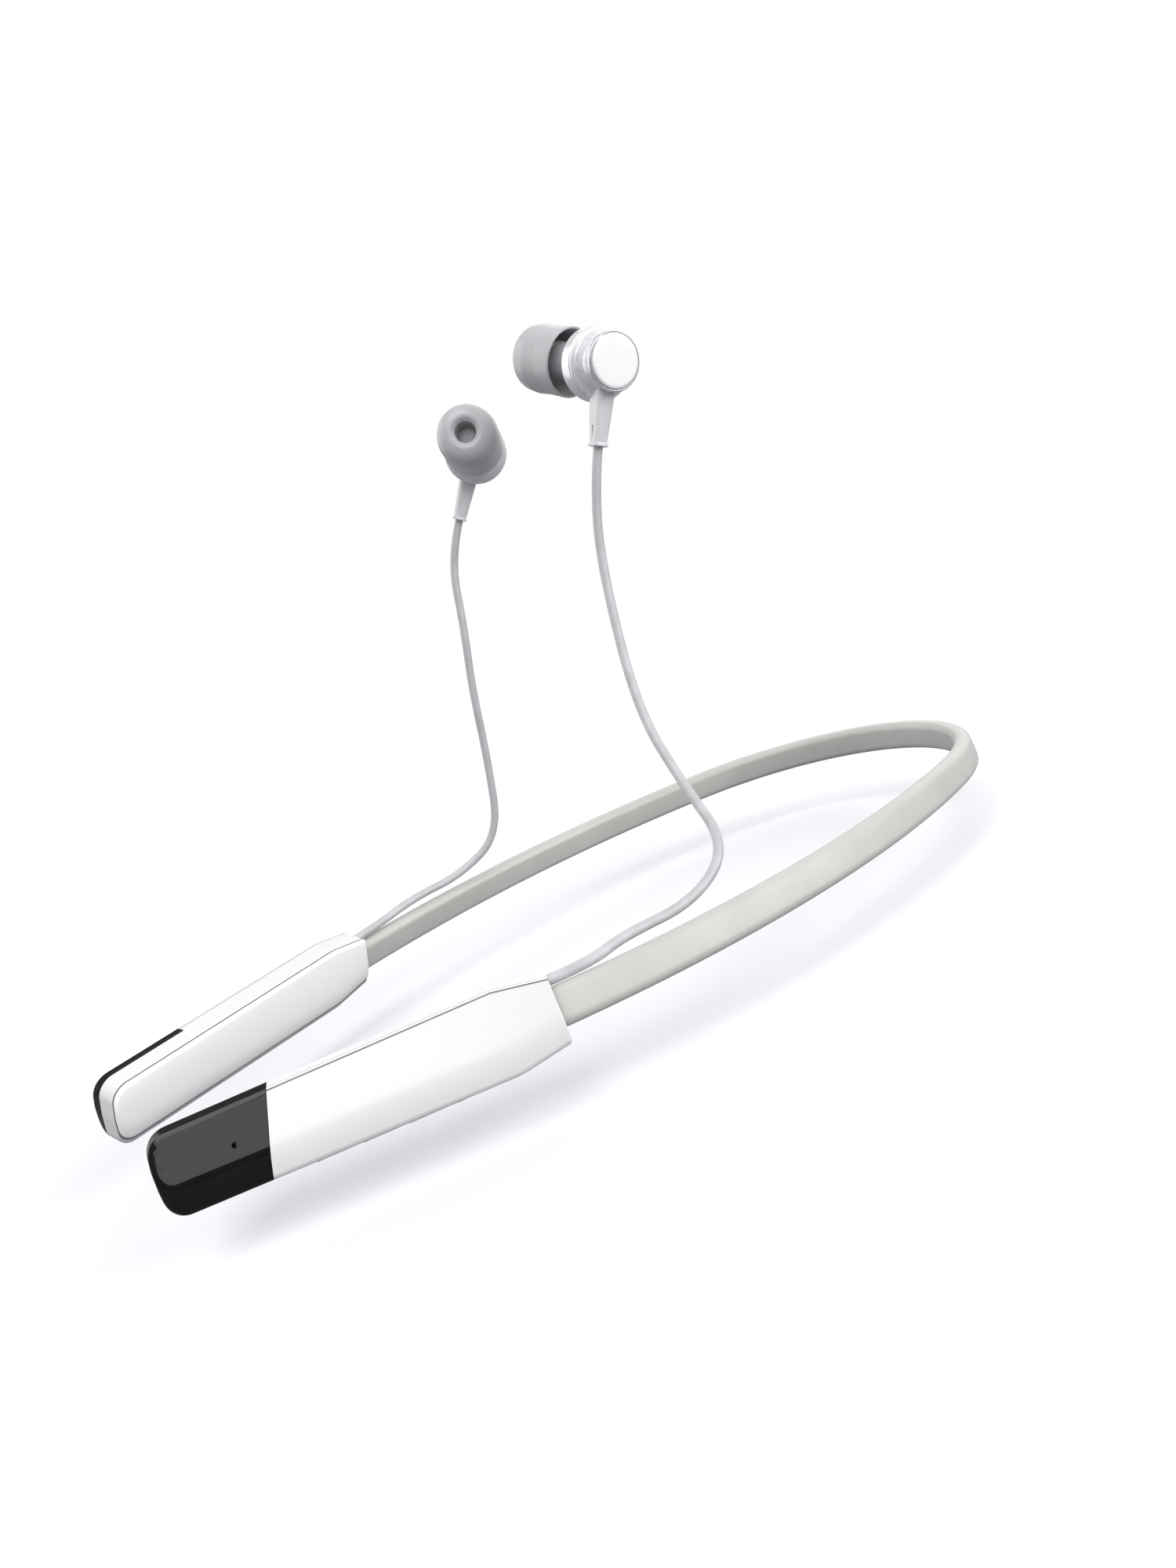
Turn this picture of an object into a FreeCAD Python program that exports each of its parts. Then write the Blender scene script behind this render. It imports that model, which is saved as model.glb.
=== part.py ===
import FreeCAD, Part
import math
import os
from FreeCAD import Placement, Rotation, Vector

# Neckband earphones.  Row frame: Z up the neck, Y from front to back, X across,
# +X on the wearer's left.  The origin lies on the band's inner face at the nape.
doc = FreeCAD.newDocument("neckband_earphones")
sheet = doc.addObject("Spreadsheet::Sheet", "Dimensions")

DIMS = {
    # neckband
    "band_height": 7.5, "band_thick": 4.2, "nape_radius": 48.3, "nape_turn": 71.6,
    "side_radius": 187.6, "side_turn": 35.5, "band_tail": 3.8, "band_lean": 21.6,
    "apex_offset": 2.28, "wire_dia": 1.2, "link_dia": 1.0, "channel_gap": 0.05,
    "channel_pitch": 3.4,
    # pods
    "pod_length": 70.0, "pod_height": 16.0, "tip_height": 14.4, "rear_height": 12.7,
    "pod_thick": 8.0, "taper_length": 10.0, "pod_heading": 110.2, "tip_corner": 4.2,
    "outer_round": 2.0, "inner_round": 1.0, "wall": 1.3, "cap_depth": 2.3,
    "cap_top": 21.2, "cap_bottom": 16.9, "cover_thick": 1.2, "cover_gap": 0.12,
    "rear_recess": 0.6, "grommet_end": 3.2, "mic_hole": 1.0, "pod_rear_x": 47.64,
    "pod_rear_y": 147.57,
    # controls
    "button_length": 6.0, "button_width": 2.4, "button_gap": 0.15, "button_pitch": 8.0,
    "button_proud": 0.1, "flap_length": 10.2, "flap_width": 3.6, "flap_thick": 0.9,
    "socket_width": 8.0, "socket_depth": 5.2, "socket_thick": 2.8,
    # electronics
    "board_thick": 0.8, "battery_length": 30.0, "battery_height": 11.0,
    "battery_thick": 4.0, "motor_dia": 7.0,
    # earbuds
    "cap_disc_dia": 10.8, "rear_house_dia": 11.8, "ring_dia": 15.0, "neck_dia": 8.0,
    "nozzle_dia": 5.8, "tip_dia": 14.6, "dome_dia": 14.4, "tip_bore": 4.9,
    "nozzle_pitch": 8.0, "nozzle_yaw": 15.5, "nozzle_pivot": 4.0, "boot_length": 12.1,
    "boot_top": 4.9, "boot_end": 3.2, "boot_reach": 16.7, "boot_shift": 1.3,
    "cord_dia": 2.0, "cord_height": 5.05,
}
for row, (alias, number) in enumerate(DIMS.items(), start=1):
    sheet.set("A%d" % row, alias)
    sheet.set("B%d" % row, str(number))
    sheet.setAlias("B%d" % row, alias)
doc.recompute()

NODES = []
PLANES = {"XY_Plane", "XZ_Plane", "YZ_Plane"}


def dim(alias):
    """The number held by one cell of the sheet."""
    return float(sheet.get(alias))


def ref(alias):
    return "Dimensions." + alias


# ---------------------------------------------------------------- helpers
def new_body(label, placement=None):
    body = doc.addObject("PartDesign::Body", label)
    body.Label = label
    if placement is not None:
        body.Placement = placement
    NODES.append(body)
    return body


def new_sketch(body, plane, level=0.0):
    """A sketch on one of the body's origin planes, moved along its normal."""
    assert plane in PLANES
    sk = body.newObject("Sketcher::SketchObject", body.Label + "_sketch")
    origin = [f for f in body.Origin.OriginFeatures if f.Role == plane][0]
    sk.AttachmentSupport = (origin, [""])
    sk.MapMode = "FlatFace"
    sk.AttachmentOffset = Placement(Vector(0, 0, level), Rotation())
    return sk


def closed_outline(sk, corners):
    """Straight sides through (x, y) or (x, y, radius) corners, tangent arcs at radii."""
    count = len(corners)
    pts = [Vector(c[0], c[1], 0) for c in corners]
    radii = [c[2] if len(c) > 2 else 0.0 for c in corners]
    ends, arcs, reaches = [], [], []
    for i, p in enumerate(pts):
        back = pts[i - 1] - p
        ahead = pts[(i + 1) % count] - p
        back.normalize()
        ahead.normalize()
        if radii[i] <= 0:
            ends.append((p, p))
            arcs.append(None)
            reaches.append(0.0)
            continue
        turn = math.pi - back.getAngle(ahead)
        reach = radii[i] * math.tan(turn / 2)
        start, stop = p + back * reach, p + ahead * reach
        middle = back + ahead
        middle.normalize()
        mid = p + middle * (radii[i] / math.cos(turn / 2) - radii[i])
        ends.append((start, stop))
        arcs.append(Part.Arc(start, mid, stop))
        reaches.append(reach)
    for i in range(count):
        side = pts[i].distanceToPoint(pts[(i + 1) % count])
        assert reaches[i] + reaches[(i + 1) % count] < side, (sk.Label, i, "arcs meet")
    for i in range(count):
        if arcs[i] is not None:
            sk.addGeometry(arcs[i], False)
        sk.addGeometry(Part.LineSegment(ends[i][1], ends[(i + 1) % count][0]), False)


def rectangle(sk, cx, cy, width, height, width_ref=None, height_ref=None):
    """A centred rectangle whose two sizes may follow the sheet."""
    import Sketcher
    x0, x1, y0, y1 = cx - width / 2, cx + width / 2, cy - height / 2, cy + height / 2
    c = [Vector(x0, y0, 0), Vector(x1, y0, 0), Vector(x1, y1, 0), Vector(x0, y1, 0)]
    g = [sk.addGeometry(Part.LineSegment(c[i], c[(i + 1) % 4]), False) for i in range(4)]
    for i in range(4):
        sk.addConstraint(Sketcher.Constraint("Coincident", g[i], 2, g[(i + 1) % 4], 1))
    for i, kind in enumerate(("Horizontal", "Vertical", "Horizontal", "Vertical")):
        sk.addConstraint(Sketcher.Constraint(kind, g[i]))
    if width_ref:
        k = sk.addConstraint(Sketcher.Constraint("DistanceX", g[0], 1, g[0], 2, width))
        sk.setExpression("Constraints[%d]" % k, width_ref)
    if height_ref:
        k = sk.addConstraint(Sketcher.Constraint("DistanceY", g[1], 1, g[1], 2, height))
        sk.setExpression("Constraints[%d]" % k, height_ref)


def circle(sk, cx, cy, radius, radius_ref=None):
    import Sketcher
    g = sk.addGeometry(Part.Circle(Vector(cx, cy, 0), Vector(0, 0, 1), radius), False)
    sk.addConstraint(Sketcher.Constraint("DistanceX", -1, 1, g, 3, cx))
    sk.addConstraint(Sketcher.Constraint("DistanceY", -1, 1, g, 3, cy))
    k = sk.addConstraint(Sketcher.Constraint("Radius", g, radius))
    if radius_ref:
        sk.setExpression("Constraints[%d]" % k, radius_ref)


def feature(body, kind, sk, length, length_ref=None, flip=False):
    f = body.newObject("PartDesign::" + kind, body.Label + "_" + kind.lower())
    f.Profile = sk
    f.Length = length
    f.Reversed = flip
    if length_ref:
        f.setExpression("Length", length_ref)
    sk.Visibility = False
    doc.recompute()
    return f


def cut(body, sk, length, length_ref=None, flip=False):
    """A pocket that must take something away."""
    before = body.Shape.Volume
    f = feature(body, "Pocket", sk, length, length_ref, flip)
    assert body.Shape.Volume < before - 1e-4, "empty cut in " + body.Label
    return f


def turned(label, profile, placement, grooves=()):
    """A piece turned about its own Z axis from (radius, height) corners."""
    body = new_body(label, placement)
    sk = new_sketch(body, "XZ_Plane")
    closed_outline(sk, profile)
    f = body.newObject("PartDesign::Revolution", label + "_turned")
    f.Profile = sk
    f.ReferenceAxis = (sk, ["V_Axis"])
    f.Angle = 360
    doc.recompute()
    for corners in grooves:
        sg = new_sketch(body, "XZ_Plane")
        closed_outline(sg, corners)
        g = body.newObject("PartDesign::Groove", label + "_groove")
        g.Profile = sg
        g.ReferenceAxis = (sg, ["V_Axis"])
        g.Angle = 360
        doc.recompute()
    return body


def round_edges(body, radius, keep, radius_ref=None):
    """Round every edge for which keep(edge) is true."""
    base = body.Tip
    names = ["Edge%d" % (i + 1) for i, e in enumerate(base.Shape.Edges) if keep(e)]
    assert names, "no edge to round on " + body.Label
    f = body.newObject("PartDesign::Fillet", body.Label + "_round")
    f.Base = (base, names)
    f.Radius = radius
    if radius_ref:
        f.setExpression("Radius", radius_ref)
    doc.recompute()
    return f


def flat_at(z, tol=1e-4):
    return lambda e: abs(e.BoundBox.ZMin - z) < tol and abs(e.BoundBox.ZMax - z) < tol


# ---------------------------------------------------------------- placements
APEX = Vector(0, dim("apex_offset"), 0)


def pod_frame(side):
    """Pod frame: X to the tip, Y up the pod's height, Z along the thickness.

    side is +1 on the wearer's left, where Z points inward, and -1 on the right,
    where it points outward.
    """
    head = math.radians(dim("pod_heading"))
    lean = math.radians(dim("band_lean"))
    along = Vector(math.cos(head) * side, -math.sin(head), 0)
    out = Vector(math.sin(head) * side, math.cos(head), 0)
    rise = out * -math.sin(lean) + Vector(0, 0, math.cos(lean))
    rear = APEX + Vector(dim("pod_rear_x") * side, -dim("pod_rear_y"), 0)
    return Placement(rear, Rotation(along, rise, along.cross(rise), "XYZ"))


def span(side, inner, outer):
    """Local Z range of a layer given by its distances outward from mid thickness."""
    return (-outer, -inner) if side > 0 else (inner, outer)


def bud_frame(place, axis, drop):
    """Earbud frame: Z along the nozzle, X down the boot."""
    z = Vector(*axis)
    z.normalize()
    x = Vector(*drop)
    x = x - z * x.dot(z)
    x.normalize()
    return Placement(APEX + Vector(*place), Rotation(x, z.cross(x), z, "ZXY"))


POD = {"left": pod_frame(1), "right": pod_frame(-1)}
SIDE = {"left": 1, "right": -1}
BUD = {
    "left": bud_frame((23.62, -75.22, 108.05), (-0.967, 0.115, 0.2275),
                      (-0.2526, -0.310, -0.9165)),
    "right": bud_frame((-31.45, -77.84, 105.55), (0.898, -0.424, -0.119),
                       (-0.3204, -0.4438, -0.8369)),
}


def nozzle_frame(name):
    """Nozzle frame: leaned from the housing's axis about a pivot on that axis."""
    bud, side = BUD[name], SIDE[name]
    x, y, z = (bud.Rotation.multVec(Vector(*a)) for a in ((1, 0, 0), (0, 1, 0), (0, 0, 1)))
    n = z - x * math.tan(math.radians(dim("nozzle_pitch"))) \
        + y * (math.tan(math.radians(dim("nozzle_yaw"))) * side)
    n.normalize()
    x = x - n * x.dot(n)
    x.normalize()
    pivot = bud.multVec(Vector(0, 0, dim("nozzle_pivot")))
    return Placement(pivot - n * dim("nozzle_pivot"), Rotation(x, n.cross(x), n, "ZXY"))


NOZZLE = {name: nozzle_frame(name) for name in BUD}


# ---------------------------------------------------------------- neckband
def band_path(sk):
    """Half of the band's centre line: nape arc, side arc and the tail in the pod."""
    y0 = dim("apex_offset")
    r1, r2 = dim("nape_radius"), dim("side_radius")
    t1 = math.radians(dim("nape_turn"))
    t2 = t1 + math.radians(dim("side_turn"))

    def on_nape(t):
        return Vector(r1 * math.sin(t), y0 - r1 * (1 - math.cos(t)), 0)

    def on_side(t):
        return on_nape(t1) + Vector(r2 * (math.sin(t) - math.sin(t1)),
                                    r2 * (math.cos(t) - math.cos(t1)), 0)

    sk.addGeometry(Part.Arc(on_nape(0), on_nape(t1 / 2), on_nape(t1)), False)
    sk.addGeometry(Part.Arc(on_side(t1), on_side((t1 + t2) / 2), on_side(t2)), False)
    tail = Vector(math.cos(t2), -math.sin(t2), 0) * dim("band_tail")
    sk.addGeometry(Part.LineSegment(on_side(t2), on_side(t2) + tail), False)
    return r1 * t1 + r2 * (t2 - t1) + dim("band_tail")


def leaned(x, y):
    """A point of the band's section, leaned inward at the top, in sketch YZ."""
    lean = math.radians(dim("band_lean"))
    return (dim("apex_offset") + x * math.cos(lean) - y * math.sin(lean),
            x * math.sin(lean) + y * math.cos(lean))


def band_piece(label, draw_section):
    """One half swept from the nape, then mirrored to the other side."""
    body = new_body(label)
    section = new_sketch(body, "YZ_Plane")
    draw_section(section)
    route = new_sketch(body, "XY_Plane")
    half = band_path(route)
    doc.recompute()
    pipe = body.newObject("PartDesign::AdditivePipe", label + "_sweep")
    pipe.Profile = section
    pipe.Spine = (route, ["Edge1", "Edge2", "Edge3"])
    pipe.Mode = "Standard"
    doc.recompute()
    plane = [f for f in body.Origin.OriginFeatures if f.Role == "YZ_Plane"][0]
    mirror = body.newObject("PartDesign::Mirrored", label + "_mirror")
    mirror.Originals = [pipe]
    mirror.MirrorPlane = (plane, [""])
    body.Tip = mirror
    doc.recompute()
    return half


def sheath_section(sk):
    w, t, corner = dim("band_height") / 2, dim("band_thick") / 2, 1.85
    corners = [leaned(-t, -w), leaned(t, -w), leaned(t, w), leaned(-t, w)]
    closed_outline(sk, [(x, y, corner) for x, y in corners])
    for bore, off in (("wire_dia", -0.5), ("link_dia", 0.5)):
        cx, cy = leaned(0, dim("channel_pitch") * off)
        circle(sk, cx, cy, dim(bore) / 2 + dim("channel_gap"))


def core_section(bore, off):
    def draw(sk):
        cx, cy = leaned(0, dim("channel_pitch") * off)
        circle(sk, cx, cy, dim(bore) / 2, ref(bore) + " / 2")
    return draw


band_piece("band_sheath", sheath_section)
band_piece("memory_wire", core_section("wire_dia", -0.5))
half_length = band_piece("link_cable", core_section("link_dia", 0.5))


# ---------------------------------------------------------------- pods
def half_height(x):
    """Half the pod's height at x from its rear."""
    taper, length = dim("taper_length"), dim("pod_length")
    rear, full, tip = (dim(k) / 2 for k in ("rear_height", "pod_height", "tip_height"))
    if x < taper:
        return rear + (full - rear) * x / taper
    return full + (tip - full) * (x - taper) / (length - taper)


def pod_outline(inset=0.0, start=0.0, stop=None):
    """Side outline of a pod, drawn inset; start and stop cut it square."""
    length, taper = dim("pod_length"), dim("taper_length")
    full = dim("pod_height") / 2 - inset
    first = max(start, inset)
    last = length - inset if stop is None else stop
    corner = max(dim("tip_corner") - inset, 0.8) if stop is None else 0.4
    low, high = half_height(first) - inset, half_height(last) - inset
    pts = [(first, -low, 0.5)]
    if first < taper - 2:
        pts.append((taper, -full, 10.0))
    pts += [(last, -high, corner), (last, high, corner)]
    if first < taper - 2:
        pts.append((taper, full, 10.0))
    pts.append((first, low, 0.5))
    return pts


def layer(body, corners, low, high, length_ref=None):
    """Pad an outline between two local Z levels."""
    sk = new_sketch(body, "XY_Plane", low)
    closed_outline(sk, corners)
    return feature(body, "Pad", sk, high - low, length_ref)


def hollow(body, corners, low, high):
    sk = new_sketch(body, "XY_Plane", high)
    closed_outline(sk, corners)
    return cut(body, sk, high - low)


def cap_region(grow=0.0):
    """The glossy cap's side outline: a slanted rear edge, open past the tip."""
    length, reach = dim("pod_length"), 12.0
    top, low = length - dim("cap_top"), length - dim("cap_bottom")
    slope = (top - low) / dim("pod_height")
    mid = (top + low) / 2
    return [(mid - slope * reach - grow, -reach), (length + 4, -reach),
            (length + 4, reach), (mid + slope * reach - grow, reach)]


def pod_blank(body, side):
    """The pod's full outer form, softer on the outer face than on the inner one."""
    low, high = span(side, -dim("pod_thick") / 2, dim("pod_thick") / 2)
    layer(body, pod_outline(), low, high, ref("pod_thick"))
    outer_z, inner_z = (low, high) if side > 0 else (high, low)
    round_edges(body, dim("outer_round"), flat_at(outer_z), ref("outer_round"))
    round_edges(body, dim("inner_round"), flat_at(inner_z), ref("inner_round"))


BEYOND = [(-5, -12), (80, -12), (80, 12), (-5, 12)]


def stadium(cx, cy, length, width):
    x, y, r = length / 2, width / 2, width / 2 - 0.02
    return [(cx - x, cy - y, r), (cx + x, cy - y, r), (cx + x, cy + y, r), (cx - x, cy + y, r)]


CONTROL_U = 0.0
BUTTONS = {"volume_up": 27.0, "play": 27.0 + dim("button_pitch"),
           "volume_down": 27.0 + 2 * dim("button_pitch")}
FLAP_X = 14.0
LAMP_X = 20.9


def wall_cut(body, corners, low, high):
    """Cut through the pod's lower wall between two local Y levels."""
    sk = new_sketch(body, "XZ_Plane", -low)
    closed_outline(sk, corners)
    cut(body, sk, high - low)


def outer_shell(name):
    side = SIDE[name]
    body = new_body(name + "_outer_shell", POD[name])
    pod_blank(body, side)
    half = dim("pod_thick") / 2
    hollow(body, cap_region(), *span(side, half - dim("cap_depth"), half + 1))
    wall, deep = dim("wall"), half - dim("wall")
    main_end = dim("pod_length") - dim("cap_top") - 1.6
    hollow(body, pod_outline(wall, dim("grommet_end"), main_end), *span(side, -half - 1, deep))
    hollow(body, pod_outline(wall, main_end + 2.0), *span(side, -half - 1, 0.6))
    hollow(body, BEYOND, *span(side, -half - 1, -half + dim("cover_thick")))
    # rear opening for the grommet
    sk = new_sketch(body, "YZ_Plane", dim("grommet_end") + 0.1)
    rectangle(sk, 0, 0, dim("rear_height") - 2 * wall, dim("pod_thick") - 2 * wall)
    cut(body, sk, dim("grommet_end") + 1.0)
    sk = new_sketch(body, "YZ_Plane", dim("grommet_end") + 0.1)
    circle(sk, dim("cord_height"), 0, dim("cord_dia") / 2 + 0.08)
    cut(body, sk, dim("grommet_end") + 1.0)
    if name == "left":
        v = -dim("pod_height") / 2
        u = -side * CONTROL_U
        for x in BUTTONS.values():
            gap = 2 * dim("button_gap")
            wall_cut(body, stadium(x, u, dim("button_length") + gap,
                                   dim("button_width") + gap), v - 1, v + 2.2)
        flap = [(FLAP_X - 5.25, u - 1.95), (FLAP_X + 5.25, u - 1.95),
                (FLAP_X + 5.25, u + 1.95), (FLAP_X - 5.25, u + 1.95)]
        wall_cut(body, flap, v - 1, v + dim("flap_thick") + 0.1)
        wall_cut(body, stadium(FLAP_X, u, dim("socket_width") + 0.2,
                               dim("socket_thick") + 0.2), v - 1, v + 2.2)
        sk = new_sketch(body, "XZ_Plane", -(v - 1))
        circle(sk, LAMP_X, u, 0.65)
        cut(body, sk, 3.2)
    return body


def end_cap(name):
    side = SIDE[name]
    body = new_body(name + "_end_cap", POD[name])
    pod_blank(body, side)
    half, reach = dim("pod_thick") / 2, 12.0
    hollow(body, BEYOND, *span(side, -half - 1, half - dim("cap_depth")))
    edge = cap_region()
    hollow(body, [(-5, -reach), edge[0], edge[3], (-5, reach)], *span(side, -half, half + 1))
    if name == "left":
        sk = new_sketch(body, "XY_Plane", half + 1)
        circle(sk, 56.5, 0, dim("mic_hole") / 2, ref("mic_hole") + " / 2")
        cut(body, sk, dim("pod_thick") + 2)
    return body


def inner_cover(name):
    """The pod's other half: a shallow lid with a lip that locates it in the shell."""
    side = SIDE[name]
    body = new_body(name + "_inner_cover", POD[name])
    pod_blank(body, side)
    half = dim("pod_thick") / 2
    split = -half + dim("cover_thick") - dim("cover_gap")
    hollow(body, BEYOND, *span(side, split, half + 1))
    lip = dim("wall") + 0.1
    low, high = span(side, split, split + 0.8)
    layer(body, pod_outline(lip, 6.0, 40.0), low, high)
    hollow(body, pod_outline(lip + 0.7, 6.7, 39.3), low, high)
    return body


# where the band's centre enters the pod: up its height, and inward of mid thickness
BAND_V, BAND_IN = 0.15, 0.38


def rear_grommet(name):
    """Soft plug in the pod's rear mouth, holding the band and the cord."""
    side = SIDE[name]
    body = new_body(name + "_rear_grommet", POD[name])
    x0, x1, wall = dim("rear_recess"), dim("grommet_end"), dim("wall")
    sk = new_sketch(body, "YZ_Plane", x0)
    rectangle(sk, 0, 0, dim("rear_height") - 2 * wall, dim("pod_thick") - 2 * wall)
    feature(body, "Pad", sk, x1 - x0)
    sk = new_sketch(body, "YZ_Plane", x1 + 1)
    grow, v, z = 0.1, BAND_V, BAND_IN * side
    hw, ht = dim("band_height") / 2 + grow, dim("band_thick") / 2 + grow
    closed_outline(sk, [(v - hw, z - ht, 1.9), (v + hw, z - ht, 1.9),
                        (v + hw, z + ht, 1.9), (v - hw, z + ht, 1.9)])
    cut(body, sk, x1 - x0 + 2)
    return body


def block(label, frame, cx, cy, low, high, width, height, width_ref=None, height_ref=None):
    """A plain rectangular component lying in a pod."""
    body = new_body(label, frame)
    sk = new_sketch(body, "XY_Plane", low)
    rectangle(sk, cx, cy, width, height, width_ref, height_ref)
    feature(body, "Pad", sk, high - low)
    return body


for pod_name in ("left", "right"):
    outer_shell(pod_name)
    end_cap(pod_name)
    inner_cover(pod_name)
    rear_grommet(pod_name)

# left pod: board, radio, socket, switches and the pieces that are pressed
L_POD = POD["left"]
board_low, board_high = span(1, 0.0, dim("board_thick"))
circuit = block("circuit_board", L_POD, 32.7, 1.4, board_low, board_high, 26.0, 8.8)
sk = new_sketch(circuit, "XY_Plane", board_high + 1)
for hole_x in (22.0, 44.0):
    circle(sk, hole_x, 3.6, 0.8)
cut(circuit, sk, dim("board_thick") + 2)
block("bluetooth_chip", L_POD, 31.0, 1.2, *span(1, -0.9, 0.0), 5.0, 5.0)
can = block("shield_can", L_POD, 31.0, 1.2, *span(1, -1.5, 0.0), 8.4, 7.0)
sk = new_sketch(can, "XY_Plane", span(1, -1.5, 0.0)[0] + 1.25)
rectangle(sk, 31.0, 1.2, 7.9, 6.5)
cut(can, sk, 1.3)
for i, hole_x in enumerate((22.0, 44.0)):
    screw = new_body("board_screw_%d" % (i + 1), L_POD)
    sk = new_sketch(screw, "XY_Plane", 0.0)
    circle(sk, hole_x, 3.6, 1.3)
    feature(screw, "Pad", sk, 0.6)
    sk = new_sketch(screw, "XY_Plane", -2.2)
    circle(sk, hole_x, 3.6, 0.75)
    feature(screw, "Pad", sk, 2.2)
    sk = new_sketch(screw, "XY_Plane", 1.0)
    rectangle(sk, hole_x, 3.6, 1.6, 0.35)
    cut(screw, sk, 0.7)

v_wall = -dim("pod_height") / 2
u_mid = -CONTROL_U
socket = new_body("usb_socket", L_POD)
sk = new_sketch(socket, "XZ_Plane", -(v_wall + 1.25 + dim("socket_depth")))
closed_outline(sk, stadium(FLAP_X, u_mid, dim("socket_width"), dim("socket_thick")))
feature(socket, "Pad", sk, dim("socket_depth"), ref("socket_depth"))
sk = new_sketch(socket, "XZ_Plane", -(v_wall + 1.0))
closed_outline(sk, stadium(FLAP_X, u_mid, dim("socket_width") - 0.8, dim("socket_thick") - 0.8))
cut(socket, sk, 4.2)
sk = new_sketch(socket, "XZ_Plane", -(v_wall + 6.0))
rectangle(sk, FLAP_X, u_mid + 0.15, 5.0, 0.7)
feature(socket, "Pad", sk, 4.2)

flap = new_body("charge_flap", L_POD)
sk = new_sketch(flap, "XZ_Plane", -(v_wall + 0.05 + dim("flap_thick")))
rectangle(sk, FLAP_X, u_mid, dim("flap_length"), dim("flap_width"),
          ref("flap_length"), ref("flap_width"))
feature(flap, "Pad", sk, dim("flap_thick"), ref("flap_thick"))

for name, x in BUTTONS.items():
    button = new_body(name + "_button", L_POD)
    edge_v = -half_height(x)
    outer_v, inner_v = edge_v - dim("button_proud"), edge_v + 1.65
    sk = new_sketch(button, "XZ_Plane", -inner_v)
    closed_outline(sk, stadium(x, u_mid, dim("button_length"), dim("button_width")))
    feature(button, "Pad", sk, inner_v - outer_v)
    sk = new_sketch(button, "XZ_Plane", -(inner_v + 0.5))
    closed_outline(sk, stadium(x, u_mid, dim("button_length") + 1.2, dim("button_width") + 0.9))
    feature(button, "Pad", sk, 0.5)
    sk = new_sketch(button, "XZ_Plane", -(inner_v + 0.7))
    circle(sk, x, u_mid, 0.8)
    feature(button, "Pad", sk, 0.5)
    switch = new_body(name + "_switch", L_POD)
    base_v = -3.05
    sk = new_sketch(switch, "XZ_Plane", -base_v)
    rectangle(sk, x, u_mid, 3.4, 2.6)
    feature(switch, "Pad", sk, 1.45)
    sk = new_sketch(switch, "XZ_Plane", -(base_v - 1.4))
    circle(sk, x, u_mid, 0.7)
    feature(switch, "Pad", sk, 0.3)

lamp = new_body("status_light", L_POD)
sk = new_sketch(lamp, "XZ_Plane", -(v_wall + 2.6))
circle(sk, LAMP_X, u_mid, 0.6)
feature(lamp, "Pad", sk, 2.5)

mic = new_body("microphone", L_POD)
sk = new_sketch(mic, "XY_Plane", span(1, -1.2, 0.6)[0])
circle(sk, 56.5, 0, 2.0)
feature(mic, "Pad", sk, 1.8)

# right pod: battery with its board and pad, and the vibration motor
R_POD = POD["right"]
half_battery = dim("battery_thick") / 2
block("battery", R_POD, 26.5, 0, *span(-1, -half_battery, half_battery), dim("battery_length"),
      dim("battery_height"), ref("battery_length"), ref("battery_height"))
block("battery_board", R_POD, 9.2, 0, *span(-1, -1.0, -0.2), 4.4, 9.0)
block("battery_foam", R_POD, 26.5, 0, *span(-1, half_battery, half_battery + 0.7), 28.0, 10.0)
motor = new_body("vibration_motor", R_POD)
sk = new_sketch(motor, "XY_Plane", -2.2)
circle(sk, 57.5, 0, dim("motor_dia") / 2, ref("motor_dia") + " / 2")
feature(motor, "Pad", sk, 2.7)


# ---------------------------------------------------------------- earbuds
def rear_outer():
    """(radius, height) corners of the rear housing's outer form, from cap to ring."""
    rear, ring = dim("rear_house_dia") / 2, dim("ring_dia") / 2
    return [(rear, -4.6, 0.4), (rear - 0.35, -2.6, 3.4), (ring - 0.3, -0.1, 2.0), (ring, 0.4)]


def front_housing(name):
    """The wide ring and its shoulder, with the neck and nozzle leaning out of it."""
    ring, neck, nozzle = (dim(k) / 2 for k in ("ring_dia", "neck_dia", "nozzle_dia"))
    lean = BUD[name].inverse().multiply(NOZZLE[name])
    body = turned(name + "_front_housing",
                  [(0, 0.4), (ring, 0.4), (ring, 4.0, 1.2), (5.4, 5.3, 1.0), (0, 5.9)],
                  BUD[name])

    def disc(level, radius, length, kind="Pad", radius_ref=None):
        sk = new_sketch(body, "XY_Plane")
        sk.AttachmentOffset = lean.multiply(Placement(Vector(0, 0, level), Rotation()))
        circle(sk, 0, 0, radius, radius_ref)
        if kind == "Pad":
            feature(body, "Pad", sk, length)
        else:
            cut(body, sk, length)

    disc(3.2, neck, 10.2, radius_ref=ref("neck_dia") + " / 2")
    disc(13.0, nozzle, 6.6, radius_ref=ref("nozzle_dia") + " / 2")
    sk = new_sketch(body, "XZ_Plane")
    closed_outline(sk, [(0, 0.2), (6.2, 0.2), (6.2, 3.8, 0.8), (0, 4.2)])
    groove = body.newObject("PartDesign::Groove", name + "_chamber")
    groove.Profile = sk
    groove.ReferenceAxis = (sk, ["V_Axis"])
    groove.Angle = 360
    doc.recompute()
    disc(20.6, nozzle - 0.7, 17.2, "Pocket")


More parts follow.
